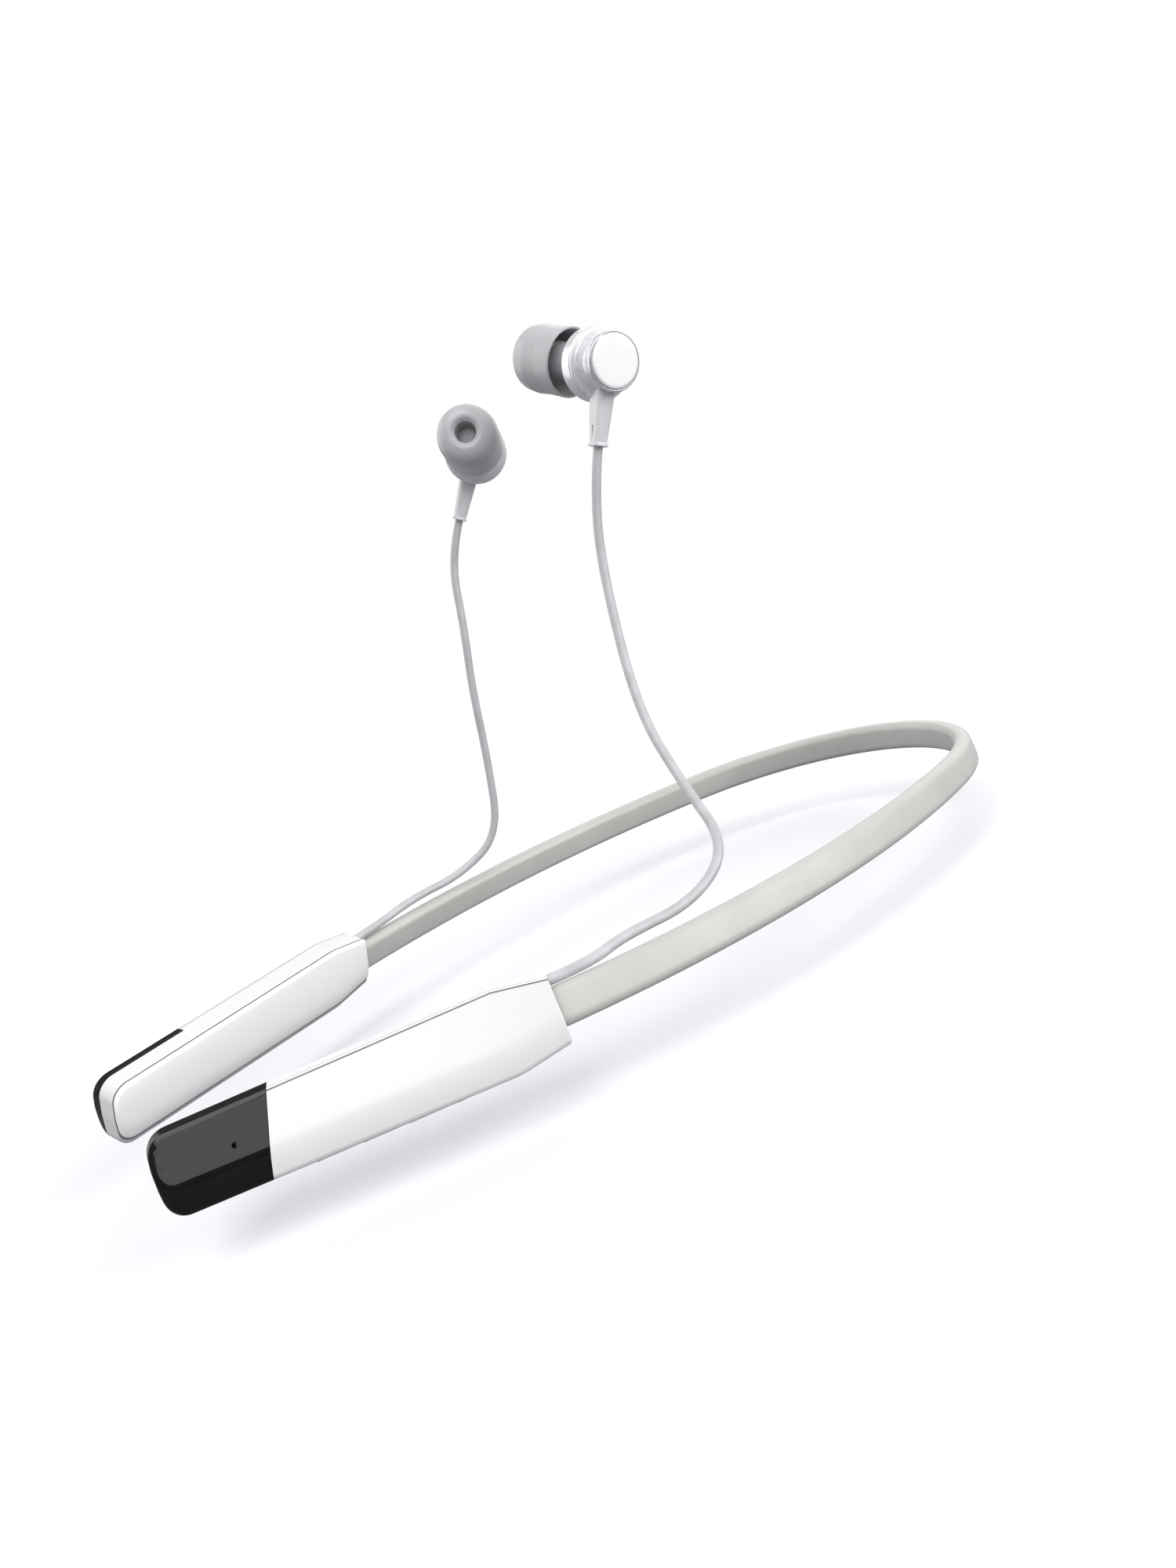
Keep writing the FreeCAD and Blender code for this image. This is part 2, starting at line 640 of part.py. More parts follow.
def earbud(name):
    frame, lean = BUD[name], NOZZLE[name]
    rear_pts = rear_outer()
    bore = dim("nozzle_dia") / 2
    cap_r, ring_r = dim("cap_disc_dia") / 2, dim("rear_house_dia") / 2
    # rear housing: a hollow cup with a hole for the boot's neck
    rear = turned(name + "_rear_housing",
                  rear_pts + [(5.9, 0.4), (4.9, -2.4, 1.0), (4.6, -4.6)], frame)
    sk = new_sketch(rear, "YZ_Plane", 0.0)
    rectangle(sk, 0, -dim("boot_shift"), 2.8, 2.4)
    cut(rear, sk, 9.0, flip=True)
    turned(name + "_back_cap",
           [(0, -6.0), (cap_r, -5.9, 0.35), (cap_r, -5.1), (4.4, -5.1), (4.4, -3.7), (0, -3.7)],
           frame)
    turned(name + "_trim_ring",
           [(4.6, -5.1), (ring_r + 0.15, -5.1, 0.15), (ring_r + 0.15, -4.6, 0.15), (4.6, -4.6)],
           frame)
    front_housing(name)
    turned(name + "_driver_frame",
           [(3.6, 0.6), (6.1, 0.6), (6.1, 2.6), (5.6, 2.6), (5.6, 1.1), (3.6, 1.1)], frame)
    turned(name + "_driver_magnet", [(0, -1.4), (3.5, -1.4), (3.5, 1.2), (0, 1.2)], frame)
    turned(name + "_diaphragm",
           [(0, 2.9), (2.4, 2.6), (2.9, 2.1), (5.5, 2.1), (5.5, 2.3), (3.0, 2.3), (2.5, 2.8),
            (0, 3.1)], frame)
    turned(name + "_nozzle_screen",
           [(0, 19.0), (bore - 0.75, 19.0), (bore - 0.75, 19.3), (0, 19.3)], lean)
    # boot: tapered, trimmed to the housing's skin, with a lip and a neck inside
    boot = new_body(name + "_boot", frame)
    start, stop = dim("boot_reach") - dim("boot_length"), dim("boot_reach") - 0.6
    sections = []
    for level, wide, deep in ((start, dim("boot_top"), 4.2), (stop, dim("boot_end"), 3.0)):
        s = new_sketch(boot, "YZ_Plane", level)
        closed_outline(s, [(x * deep / 2, y * wide / 2 - dim("boot_shift"), 0.7)
                           for x, y in ((-1, -1), (1, -1), (1, 1), (-1, 1))])
        sections.append(s)
    doc.recompute()
    loft = boot.newObject("PartDesign::AdditiveLoft", name + "_boot_loft")
    loft.Profile = sections[0]
    loft.Sections = [sections[1]]
    doc.recompute()
    sk = new_sketch(boot, "YZ_Plane", stop)
    wide = dim("boot_end") + 0.5
    closed_outline(sk, [(x * 1.7, y * wide / 2 - dim("boot_shift"), 0.8)
                        for x, y in ((-1, -1), (1, -1), (1, 1), (-1, 1))])
    feature(boot, "Pad", sk, 0.6)
    sg = new_sketch(boot, "XZ_Plane")
    trim = [(0, -6.2), (ring_r, -6.2)] + rear_pts[:-1] + [(dim("ring_dia") / 2, 0.4),
                                                       (dim("ring_dia") / 2, 4.2), (0, 4.2)]
    closed_outline(sg, trim)
    groove = boot.newObject("PartDesign::Groove", name + "_boot_trim")
    groove.Profile = sg
    groove.ReferenceAxis = (sg, ["V_Axis"])
    groove.Angle = 360
    doc.recompute()
    # soft tip: a stem tube, and a dome that folds back over it to a thin skirt
    stem, dome, rim = bore + 0.06, dim("dome_dia") / 2, dim("tip_dia") / 2
    turned(name + "_ear_tip",
           [(stem, 13.5), (4.1, 13.5), (4.1, 19.0, 0.6), (5.7, 18.8, 0.7), (6.3, 15.0, 3.0),
            (rim - 0.6, 10.1), (rim, 10.1, 0.3), (dome - 0.15, 14.8, 4.0), (dome, 18.4, 4.5),
            (dome - 0.6, 22.4, 3.2), (dim("tip_bore") / 2 + 1.0, 23.5, 1.4),
            (dim("tip_bore") / 2, 22.6, 0.4), (dim("tip_bore") / 2, 20.2, 0.2), (stem, 19.7)],
           lean)


for bud_name in ("left", "right"):
    earbud(bud_name)


# ---------------------------------------------------------------- cords
def cord_route(points):
    """Straight runs joined by tangent arcs as large as the runs allow."""
    edges, radii, length, at = [], [], 0.0, points[0]
    for i in range(1, len(points) - 1):
        back, ahead = points[i - 1] - points[i], points[i + 1] - points[i]
        reach = 0.45 * min(back.Length, ahead.Length)
        back.normalize()
        ahead.normalize()
        turn = math.pi - back.getAngle(ahead)
        radius = reach / math.tan(turn / 2)
        start, stop = points[i] + back * reach, points[i] + ahead * reach
        middle = back + ahead
        middle.normalize()
        mid = points[i] + middle * (radius / math.cos(turn / 2) - radius)
        edges.append(Part.LineSegment(at, start).toShape())
        edges.append(Part.Arc(start, mid, stop).toShape())
        length += (start - at).Length + radius * turn
        radii.append(round(radius, 1))
        at = stop
    edges.append(Part.LineSegment(at, points[-1]).toShape())
    return Part.Wire(edges), length + (points[-1] - at).Length, radii


CORD_POINTS = {
    "left": [(17.5, -87.9, 65.1), (23.5, -94.6, 38.4), (34.3, -97.4, 22.4),
             (45.7, -100.2, 10.4), (49.0, -113.9, 5.0), (47.4, -130.5, 5.5)],
    "right": [(-40.2, -92.7, 66.3), (-42.3, -95.4, 50.9), (-44.1, -97.2, 33.0),
              (-47.2, -100.1, 12.6), (-52.1, -112.3, 6.3), (-51.0, -127.0, 6.5)],
}
FIRST_RUN = {"left": 11.0, "right": 10.0}
LAST_RUN = {"left": 9.0, "right": 7.4}

for name, inner_points in CORD_POINTS.items():
    bud, pod = BUD[name], POD[name]
    out = bud.multVec(Vector(dim("boot_reach"), 0, -dim("boot_shift")))
    drop = bud.Rotation.multVec(Vector(1, 0, 0))
    home = pod.multVec(Vector(dim("rear_recess"), dim("cord_height"), 0))
    along = pod.Rotation.multVec(Vector(1, 0, 0))
    points = [out, out + drop * FIRST_RUN[name]] + [APEX + Vector(*p) for p in inner_points]
    points += [home - along * LAST_RUN[name], home]
    wire, length, radii = cord_route(points)
    route = doc.addObject("Part::Feature", name + "_cord_route")
    route.Shape = wire
    ring = doc.addObject("Part::Circle", name + "_cord_section")
    ring.Radius = dim("cord_dia") / 2
    ring.setExpression("Radius", ref("cord_dia") + " / 2")
    ring.Placement = Placement(out, Rotation(Vector(0, 0, 1), drop))
    cord = doc.addObject("Part::Sweep", name + "_cord")
    cord.Label = name + "_cord"
    cord.Sections = [ring]
    cord.Spine = (route, [])
    cord.Solid = True
    cord.Frenet = False
    NODES.append(cord)
    doc.recompute()
    tube = math.pi * (dim("cord_dia") / 2) ** 2 * length
    print(name, "cord length %.1f, radii %s, volume %.3f of %.3f" %
          (length, radii, cord.Shape.Volume, tube))
    print("   points", [tuple(round(c, 1) for c in p) for p in points])
    assert abs(cord.Shape.Volume / tube - 1) < 0.01

# ---------------------------------------------------------------- checks and files
doc.recompute()
for obj in doc.Objects:
    assert "Invalid" not in obj.State and "Error" not in obj.State, obj.Label
os.makedirs("parts", exist_ok=True)
for node in NODES:
    shape = node.Shape
    assert not shape.isNull() and shape.isValid(), node.Label
    assert len(shape.Solids) == 1, (node.Label, len(shape.Solids))
    shape.exportStep("parts/" + node.Label + ".step")
print(len(NODES), "pieces; half band", round(half_length, 1))
for name in ("left", "right"):
    m = POD[name]
    print(name, "pod", [round(c, 3) for c in m.Base],
          [[round(c, 4) for c in m.Rotation.multVec(Vector(*e))]
           for e in ((1, 0, 0), (0, 1, 0), (0, 0, 1))])
    m = BUD[name]
    print(name, "bud", [round(c, 3) for c in m.Base],
          [[round(c, 4) for c in m.Rotation.multVec(Vector(*e))]
           for e in ((1, 0, 0), (0, 1, 0), (0, 0, 1))])
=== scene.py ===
import math

import bmesh
import bpy
from mathutils import Matrix, Vector


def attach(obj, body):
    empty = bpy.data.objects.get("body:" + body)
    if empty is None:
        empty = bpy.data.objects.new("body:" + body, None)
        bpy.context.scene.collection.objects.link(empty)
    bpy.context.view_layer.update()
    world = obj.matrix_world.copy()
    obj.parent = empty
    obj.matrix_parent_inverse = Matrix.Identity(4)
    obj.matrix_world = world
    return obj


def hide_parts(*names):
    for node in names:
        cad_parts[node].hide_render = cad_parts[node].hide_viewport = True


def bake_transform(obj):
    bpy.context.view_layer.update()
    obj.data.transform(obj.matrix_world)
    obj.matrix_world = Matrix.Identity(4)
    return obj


# Neckband earphones.  Lengths below are in millimetres unless a name says metres,
# and every mesh is stored in metres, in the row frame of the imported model.
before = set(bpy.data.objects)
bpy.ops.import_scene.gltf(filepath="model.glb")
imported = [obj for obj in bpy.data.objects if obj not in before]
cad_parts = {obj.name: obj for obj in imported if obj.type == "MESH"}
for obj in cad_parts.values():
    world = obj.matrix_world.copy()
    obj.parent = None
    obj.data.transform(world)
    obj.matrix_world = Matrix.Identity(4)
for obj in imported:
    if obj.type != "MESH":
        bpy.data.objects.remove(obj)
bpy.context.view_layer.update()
MM = 0.001
SIDES = {"left": 1, "right": -1}


# ---------------------------------------------------------------- placing
def axes_matrix(origin, x, y, z):
    """Object matrix from an origin in millimetres and three axes."""
    m = Matrix.Identity(4)
    for col, axis in enumerate((x, y, z)):
        for row in range(3):
            m[row][col] = axis[row]
    m.translation = Vector(origin) * MM
    return m


APEX_Y = 2.28                                # middle of the band's thickness at the nape
POD_REAR_X, POD_REAR_BEHIND = 47.64, 147.57  # middle of a pod's rear end, from the nape
POD_HEADING, POD_LEAN = math.radians(110.2), math.radians(21.6)


def pod_matrix(side):
    """X to the pod's tip, Y up its height, Z along its thickness."""
    along = Vector((math.cos(POD_HEADING) * side, -math.sin(POD_HEADING), 0))
    out = Vector((math.sin(POD_HEADING) * side, math.cos(POD_HEADING), 0))
    rise = out * -math.sin(POD_LEAN) + Vector((0, 0, math.cos(POD_LEAN)))
    return axes_matrix((POD_REAR_X * side, APEX_Y - POD_REAR_BEHIND, 0), along, rise,
                       along.cross(rise))


def bud_matrix(place, axis, drop):
    """Z along the housing's axis, X down the boot."""
    z = Vector(axis).normalized()
    x = Vector(drop)
    x = (x - z * x.dot(z)).normalized()
    return axes_matrix(Vector((0, APEX_Y, 0)) + Vector(place), x, z.cross(x), z)


POD = {name: pod_matrix(side) for name, side in SIDES.items()}
# each earbud: place from the nape's middle, the housing's axis and the boot's direction
BUD = {
    "left": bud_matrix((23.62, -75.22, 108.05), (-0.967, 0.115, 0.2275),
                       (-0.2526, -0.310, -0.9165)),
    "right": bud_matrix((-31.45, -77.84, 105.55), (0.898, -0.424, -0.119),
                        (-0.3204, -0.4438, -0.8369)),
}
NOZZLE_PITCH, NOZZLE_YAW, NOZZLE_PIVOT = math.radians(8.0), math.radians(15.5), 4.0


def nozzle_matrix(name):
    """The nozzle leans from the housing's axis about a pivot on that axis."""
    x, y, z = (BUD[name].col[i].to_3d() for i in range(3))
    n = (z - x * math.tan(NOZZLE_PITCH) + y * math.tan(NOZZLE_YAW) * SIDES[name]).normalized()
    x = (x - n * x.dot(n)).normalized()
    origin = BUD[name].translation / MM + (z - n) * NOZZLE_PIVOT
    return axes_matrix(origin, x, n.cross(x), n)


NOZZLE = {name: nozzle_matrix(name) for name in SIDES}


# ---------------------------------------------------------------- camera
CAMERA_AT = (217.90, -227.66, 67.27)
CAMERA_TURNS = (58.77, 9.62, -19.40)         # yaw, downward pitch and roll in degrees
CAMERA_SENSOR, CAMERA_LENS = 36.0, 26.13


def add_camera():
    """Above and beside the wearer's left shoulder, rolled so that the band climbs."""
    yaw, pitch, roll = (math.radians(a) for a in CAMERA_TURNS)
    ahead = Vector((-math.sin(yaw) * math.cos(pitch), math.cos(yaw) * math.cos(pitch),
                    -math.sin(pitch)))
    level = Vector((math.cos(yaw), math.sin(yaw), 0))
    up = level.cross(ahead)
    right = level * math.cos(roll) + up * math.sin(roll)
    data = bpy.data.cameras.new("camera")
    data.sensor_width, data.lens = CAMERA_SENSOR, CAMERA_LENS
    data.clip_start, data.clip_end = 0.01, 50.0
    camera = bpy.data.objects.new("camera", data)
    camera.matrix_world = axes_matrix(CAMERA_AT, right, right.cross(ahead), -ahead)
    bpy.context.scene.collection.objects.link(camera)
    bpy.context.scene.camera = camera


add_camera()


# ---------------------------------------------------------------- materials
NOISE_DETAIL = 3.0
WEAVE_PITCH = 0.32                           # millimetres between two wires of the screen


def srgb(*levels):
    """Linear colour from levels of 0 to 255."""
    out = []
    for level in levels:
        c = level / 255
        out.append(c / 12.92 if c <= 0.04045 else ((c + 0.055) / 1.055) ** 2.4)
    return (*out, 1.0)


class Finish:
    """A procedural material: a shader with tone, gloss and relief from noise."""

    def __init__(self, name, color, roughness, **sockets):
        self.mat = bpy.data.materials.new(name)
        self.mat.use_nodes = True
        self.tree = self.mat.node_tree
        self.shader = self.tree.nodes["Principled BSDF"]
        self.color, self.rough = color, roughness
        self.shader.inputs["Base Color"].default_value = color
        self.shader.inputs["Roughness"].default_value = roughness
        for socket, number in sockets.items():
            self.shader.inputs[socket.replace("_", " ")].default_value = number
        self.mat.diffuse_color = color
        self.where = self.node("ShaderNodeTexCoord").outputs["Object"]

    def node(self, kind, **settings):
        made = self.tree.nodes.new(kind)
        for key, value in settings.items():
            setattr(made, key, value)
        return made

    def link(self, source, target):
        self.tree.links.new(source, target)

    def noise(self, size):
        """Noise whose grains are about size millimetres."""
        tex = self.node("ShaderNodeTexNoise")
        tex.inputs["Scale"].default_value = 1000.0 / size
        tex.inputs["Detail"].default_value = NOISE_DETAIL
        self.link(self.where, tex.inputs["Vector"])
        return tex.outputs["Fac"]

    def ranged(self, source, low, high, from_low=0.3, from_high=0.7):
        """Stretch the middle of a source's values to run from low to high."""
        ramp = self.node("ShaderNodeMapRange")
        for key, value in (("From Min", from_low), ("From Max", from_high),
                           ("To Min", low), ("To Max", high)):
            ramp.inputs[key].default_value = value
        self.link(source, ramp.inputs["Value"])
        return ramp.outputs["Result"]

    def tone(self, size, other, amount=1.0):
        """Blend towards another colour in soft patches."""
        mix = self.node("ShaderNodeMix", data_type="RGBA")
        mix.inputs["A"].default_value = self.color
        mix.inputs["B"].default_value = other
        self.link(self.ranged(self.noise(size), 0.0, amount), mix.inputs["Factor"])
        self.link(mix.outputs["Result"], self.shader.inputs["Base Color"])
        return self

    def gloss(self, size, spread):
        """Let the roughness wander by spread either way."""
        source = self.ranged(self.noise(size), self.rough - spread, self.rough + spread)
        self.link(source, self.shader.inputs["Roughness"])
        return self

    def relief(self, size, height, source=None):
        """Raise a fine grain, or another source; height is in millimetres."""
        bump = self.node("ShaderNodeBump")
        bump.inputs["Distance"].default_value = height * MM
        bump.inputs["Strength"].default_value = 1.0
        self.link(source or self.noise(size), bump.inputs["Height"])
        self.link(bump.outputs["Normal"], self.shader.inputs["Normal"])
        return self


M = {}


def finish(slot_name, color, roughness, **sockets):
    """Make a finish from a colour in levels and keep its material by name."""
    made = Finish(slot_name, srgb(*color), roughness, **sockets)
    M[slot_name] = made.mat
    return made


finish("pod_white", (212, 212, 214), 0.3, Coat_Weight=0.25, Coat_Roughness=0.12) \
    .tone(9.0, srgb(210, 210, 212), 0.6).gloss(0.8, 0.02).relief(0.5, 0.0006)
# painted light: the pods' white made brighter for the inner covers, which face away from the lamps
finish("painted_light_cover", (246, 246, 247), 0.32, Coat_Weight=0.2, Coat_Roughness=0.15) \
    .tone(9.0, srgb(244, 244, 246), 0.6).gloss(0.8, 0.02).relief(0.5, 0.0006)
# painted shade: a mid grey for the floors of the seams, the groove and the fine line, standing in
# for the shade in them
finish("seam_painted_shade", (140, 140, 143), 0.7).tone(2.0, srgb(128, 128, 131)).relief(0.3, 0.01)
finish("cap_black", (7, 7, 8), 0.05, IOR=1.36) \
    .tone(6.0, srgb(11, 11, 12)).gloss(3.0, 0.015).relief(4.0, 0.0006)
finish("grommet_grey", (176, 177, 179), 0.55).tone(2.0, srgb(166, 167, 169)) \
    .gloss(0.5, 0.08).relief(0.3, 0.01)
finish("cord_grey", (166, 167, 169), 0.42, Sheen_Weight=0.15, Coat_Weight=0.1) \
    .tone(4.0, srgb(182, 183, 186)).gloss(0.8, 0.07).relief(0.25, 0.006)
finish("tip_silicone", (176, 177, 179), 0.38, Subsurface_Weight=0.3, Subsurface_Scale=0.001,
       Subsurface_Radius=(1.0, 1.0, 1.0), Coat_Weight=0.1) \
    .tone(3.0, srgb(176, 177, 180)).gloss(0.7, 0.06).relief(0.3, 0.006)
finish("housing_pearl", (208, 208, 212), 0.3, Metallic=0.3, Coat_Weight=0.5,
       Coat_Roughness=0.2).tone(1.2, srgb(226, 226, 230)).gloss(0.3, 0.05).relief(0.2, 0.002)
finish("disc_white", (250, 250, 250), 0.28, Coat_Weight=0.4, Coat_Roughness=0.1) \
    .tone(3.0, srgb(246, 246, 248)).gloss(0.4, 0.04).relief(0.3, 0.003)
finish("trim_chrome", (226, 227, 230), 0.24, Metallic=1.0).tone(1.0, srgb(216, 217, 221)) \
    .gloss(0.2, 0.04).relief(0.15, 0.002)
finish("boot_grey", (210, 211, 213), 0.36, Coat_Weight=0.15).tone(2.0, srgb(204, 205, 207)) \
    .gloss(0.5, 0.06).relief(0.25, 0.006)
finish("driver_plastic", (40, 40, 42), 0.5).tone(1.0, srgb(52, 52, 54)).relief(0.2, 0.01)
finish("magnet_steel", (150, 151, 153), 0.3, Metallic=1.0).tone(1.0, srgb(130, 131, 133)) \
    .gloss(0.3, 0.08).relief(0.2, 0.004)
finish("diaphragm_film", (205, 200, 188), 0.25, Coat_Weight=0.3) \
    .tone(0.8, srgb(190, 184, 170)).gloss(0.3, 0.05).relief(0.3, 0.01)
finish("band_silicone", (176, 175, 172), 0.42, Sheen_Weight=0.12, Coat_Weight=0.08,
       Coat_Roughness=0.3).tone(8.0, srgb(183, 181, 178)).gloss(0.8, 0.04).relief(0.3, 0.004)
finish("wire_steel", (170, 170, 172), 0.3, Metallic=1.0).tone(0.8, srgb(150, 150, 152)) \
    .relief(0.2, 0.004)
finish("cable_black", (24, 24, 26), 0.45).tone(0.8, srgb(34, 34, 36)).relief(0.2, 0.008)
finish("board_green", (22, 74, 44), 0.4, Coat_Weight=0.4).tone(1.1, srgb(34, 96, 58)) \
    .relief(0.5, 0.02)
finish("chip_black", (28, 28, 30), 0.5).tone(0.4, srgb(40, 40, 42)).relief(0.15, 0.006)
finish("plated_steel", (188, 188, 190), 0.28, Metallic=1.0).tone(1.2, srgb(168, 168, 170)) \
    .gloss(0.3, 0.06).relief(0.2, 0.004)
finish("light_lens", (232, 236, 240), 0.15, Transmission_Weight=0.4, IOR=1.49) \
    .tone(0.5, srgb(222, 228, 236)).relief(0.2, 0.004)
finish("flap_white", (240, 240, 241), 0.42).tone(3.0, srgb(234, 234, 236)) \
    .gloss(0.5, 0.05).relief(0.3, 0.006)
finish("button_white", (236, 236, 238), 0.34).tone(2.0, srgb(228, 228, 231)) \
    .gloss(0.4, 0.05).relief(0.25, 0.005)
finish("battery_foil", (196, 198, 202), 0.32, Metallic=0.85).tone(2.0, srgb(180, 182, 186)) \
    .gloss(1.0, 0.08).relief(2.0, 0.05)
finish("foam_black", (30, 30, 31), 0.95).tone(0.4, srgb(44, 44, 46)).relief(0.25, 0.08)


def mesh_finish():
    """Woven wire: two crossing sets of ridges with dark gaps between them; the dark in the gaps is
    painted shade for the inside seen through the weave.
    """
    made = finish("screen_mesh", (176, 177, 180), 0.35, Metallic=0.9)
    ridges = []
    for direction in ("X", "Y"):
        wave = made.node("ShaderNodeTexWave", bands_direction=direction)
        wave.inputs["Scale"].default_value = 1000.0 / WEAVE_PITCH / math.tau * 2.0
        made.link(made.where, wave.inputs["Vector"])
        ridges.append(wave.outputs["Fac"])
    weave = made.node("ShaderNodeMath", operation="MAXIMUM")
    made.link(ridges[0], weave.inputs[0])
    made.link(ridges[1], weave.inputs[1])
    # painted shade: near black in the gaps between the wires
    mix = made.node("ShaderNodeMix", data_type="RGBA")
    mix.inputs["A"].default_value = srgb(30, 30, 32)
    mix.inputs["B"].default_value = made.color
    made.link(made.ranged(weave.outputs[0], 0, 1, 0.45, 0.7), mix.inputs["Factor"])
    made.link(mix.outputs["Result"], made.shader.inputs["Base Color"])
    made.relief(1, 0.05, source=weave.outputs[0])


mesh_finish()


# ---------------------------------------------------------------- pieces
def rounded(corners, segments=6, closed=True):
    """Points along straight sides, with an arc of segments at each (x, y, radius)."""
    out = []
    count = len(corners)
    for i, corner in enumerate(corners):
        p = Vector(corner[:2])
        radius = corner[2] if len(corner) > 2 else 0.0
        if radius <= 0 or (not closed and i in (0, count - 1)):
            out.append(tuple(p))
            continue
        back = (Vector(corners[i - 1][:2]) - p).normalized()
        ahead = (Vector(corners[(i + 1) % count][:2]) - p).normalized()
        turn = math.pi - back.angle(ahead)
        reach = radius * math.tan(turn / 2)
        start, centre = p + back * reach, p + (back + ahead).normalized() * (
            radius / math.cos(turn / 2))
        spoke = start - centre
        sense = 1 if back.x * ahead.y - back.y * ahead.x < 0 else -1
        for k in range(segments + 1):
            a = sense * turn * k / segments
            out.append((centre.x + spoke.x * math.cos(a) - spoke.y * math.sin(a),
                        centre.y + spoke.x * math.sin(a) + spoke.y * math.cos(a)))
    return out


def piece(name, bm, matrix, slot_name, body, nodes=(), sharp=32.0, more=()):
    """Turn a bmesh in millimetres into a piece that rides on a body."""
    bmesh.ops.remove_doubles(bm, verts=bm.verts, dist=1e-5)
    bmesh.ops.recalc_face_normals(bm, faces=bm.faces)
    bmesh.ops.scale(bm, vec=(MM, MM, MM), verts=bm.verts)
    mesh = bpy.data.meshes.new(name)
    bm.to_mesh(mesh)
    bm.free()
    mesh.shade_smooth()
    mesh.set_sharp_from_angle(angle=math.radians(sharp))
    mesh.materials.append(M[slot_name])
    for extra in more:
        mesh.materials.append(M[extra])
    obj = bpy.data.objects.new(name, mesh)
    bpy.context.scene.collection.objects.link(obj)
    obj.matrix_world = matrix
    if nodes:
        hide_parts(*nodes)
    if body:
        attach(obj, body)
    return obj


def skin(loops):
    """Join loops of equal count into a tube, with its two ends filled."""
    bm = bmesh.new()
    rings = [[bm.verts.new(p) for p in loop] for loop in loops]
    for low, high in zip(rings, rings[1:]):
        for i in range(len(low)):
            j = (i + 1) % len(low)
            bm.faces.new((low[i], low[j], high[j], high[i]))
    bm.faces.new(rings[0])
    bm.faces.new(rings[-1])
    return bm


def lathe(profile, segments=128, arc=8):
    """Turn a closed (radius, height, corner radius) outline about Z."""
    bm = bmesh.new()
    rings = []
    for radius, height in rounded(profile, arc):
        if radius < 1e-6:
            rings.append([bm.verts.new((0, 0, height))])
        else:
            rings.append([bm.verts.new((radius * math.cos(math.tau * k / segments),
                                        radius * math.sin(math.tau * k / segments), height))
                          for k in range(segments)])
    for low, high in zip(rings, rings[1:] + rings[:1]):
        for k in range(segments):
            n = (k + 1) % segments
            quad = [low[k % len(low)], low[n % len(low)], high[n % len(high)],
                    high[k % len(high)]]
            quad = list(dict.fromkeys(quad))
            if len(quad) > 2:
                bm.faces.new(quad)
    return bm


def cut_away(obj, cutters, joined=()):
    """Join meshes to obj, subtract others from it, then drop the helpers."""
    for operation, helpers in (("UNION", joined), ("DIFFERENCE", cutters)):
        for helper in helpers:
            modifier = obj.modifiers.new("cut", "BOOLEAN")
            modifier.operation, modifier.solver, modifier.object = operation, "EXACT", helper
    bpy.context.view_layer.update()
    graph = bpy.context.evaluated_depsgraph_get()
    mesh = bpy.data.meshes.new_from_object(obj.evaluated_get(graph))
    obj.modifiers.clear()
    slots = list(obj.data.materials)
    obj.data = mesh
    mesh.materials.clear()
    for mat in slots:
        mesh.materials.append(mat)
    for face in mesh.polygons:
        face.material_index = 0
    for helper in (*cutters, *joined):
        bpy.data.objects.remove(helper)


def cutter(bm, matrix):
    """A temporary mesh in the same frame as the piece it cuts."""
    bmesh.ops.recalc_face_normals(bm, faces=bm.faces)
    bmesh.ops.scale(bm, vec=(MM, MM, MM), verts=bm.verts)
    mesh = bpy.data.meshes.new("cutter")
    bm.to_mesh(mesh)
    bm.free()
    obj = bpy.data.objects.new("cutter", mesh)
    bpy.context.scene.collection.objects.link(obj)
    obj.matrix_world = matrix
    return obj


SHADE_BREAK, BEVEL_FROM = math.radians(28), math.radians(35.0)


def finish_edges(obj, width):
    """Shade a mesh smooth up to its real edges and round those by width."""
    obj.data.shade_smooth()
    obj.data.set_sharp_from_angle(angle=SHADE_BREAK)
    modifier = obj.modifiers.new("edge", "BEVEL")
    modifier.width, modifier.segments = width * MM, 3
    modifier.limit_method, modifier.angle_limit = "ANGLE", BEVEL_FROM
    modifier.harden_normals = True
    modifier.miter_outer = "MITER_ARC"


def circle(radius, count, cx=0.0):
    return [(cx + radius * math.cos(math.tau * k / count), radius * math.sin(math.tau * k / count))
            for k in range(count)]


def plate(cx, cy, length, width, r=0.4, arc=4):
    """Rectangle with rounded corners."""
    x, y = length / 2, width / 2
    return rounded([(cx - x, cy - y, r), (cx + x, cy - y, r), (cx + x, cy + y, r),
                    (cx - x, cy + y, r)], arc)


def pill(cx, cy, length, width):
    """Rectangle with two round ends."""
    return plate(cx, cy, length, width, width / 2 - 0.01, 10)


# ---------------------------------------------------------------- cords
CORD_DIAMETER = 0.002                        # metres
# each cord's length in metres and its route from the boot to the pod's mouth
CORDS = {
    "left": (0.1406, [
        (20.66, -78.27, 92.45), (17.88, -81.68, 82.37), (17.5, -85.62, 65.1),
        (23.5, -92.32, 38.4), (34.3, -95.12, 22.4), (45.7, -97.92, 10.4),
        (49.0, -111.62, 5.0), (47.4, -128.22, 5.5), (48.8, -136.77, 4.70),
        (45.69, -145.21, 4.70)]),
    "right": (0.1311, [
        (-37.97, -82.42, 91.73), (-41.17, -86.86, 83.36), (-40.2, -90.42, 66.3),
        (-42.3, -93.12, 50.9), (-44.1, -94.92, 33.0), (-47.2, -97.8, 12.6),
        (-52.1, -110.0, 6.3), (-51.0, -124.7, 6.5), (-48.24, -138.27, 4.70),
        (-45.69, -145.21, 4.70)]),
}


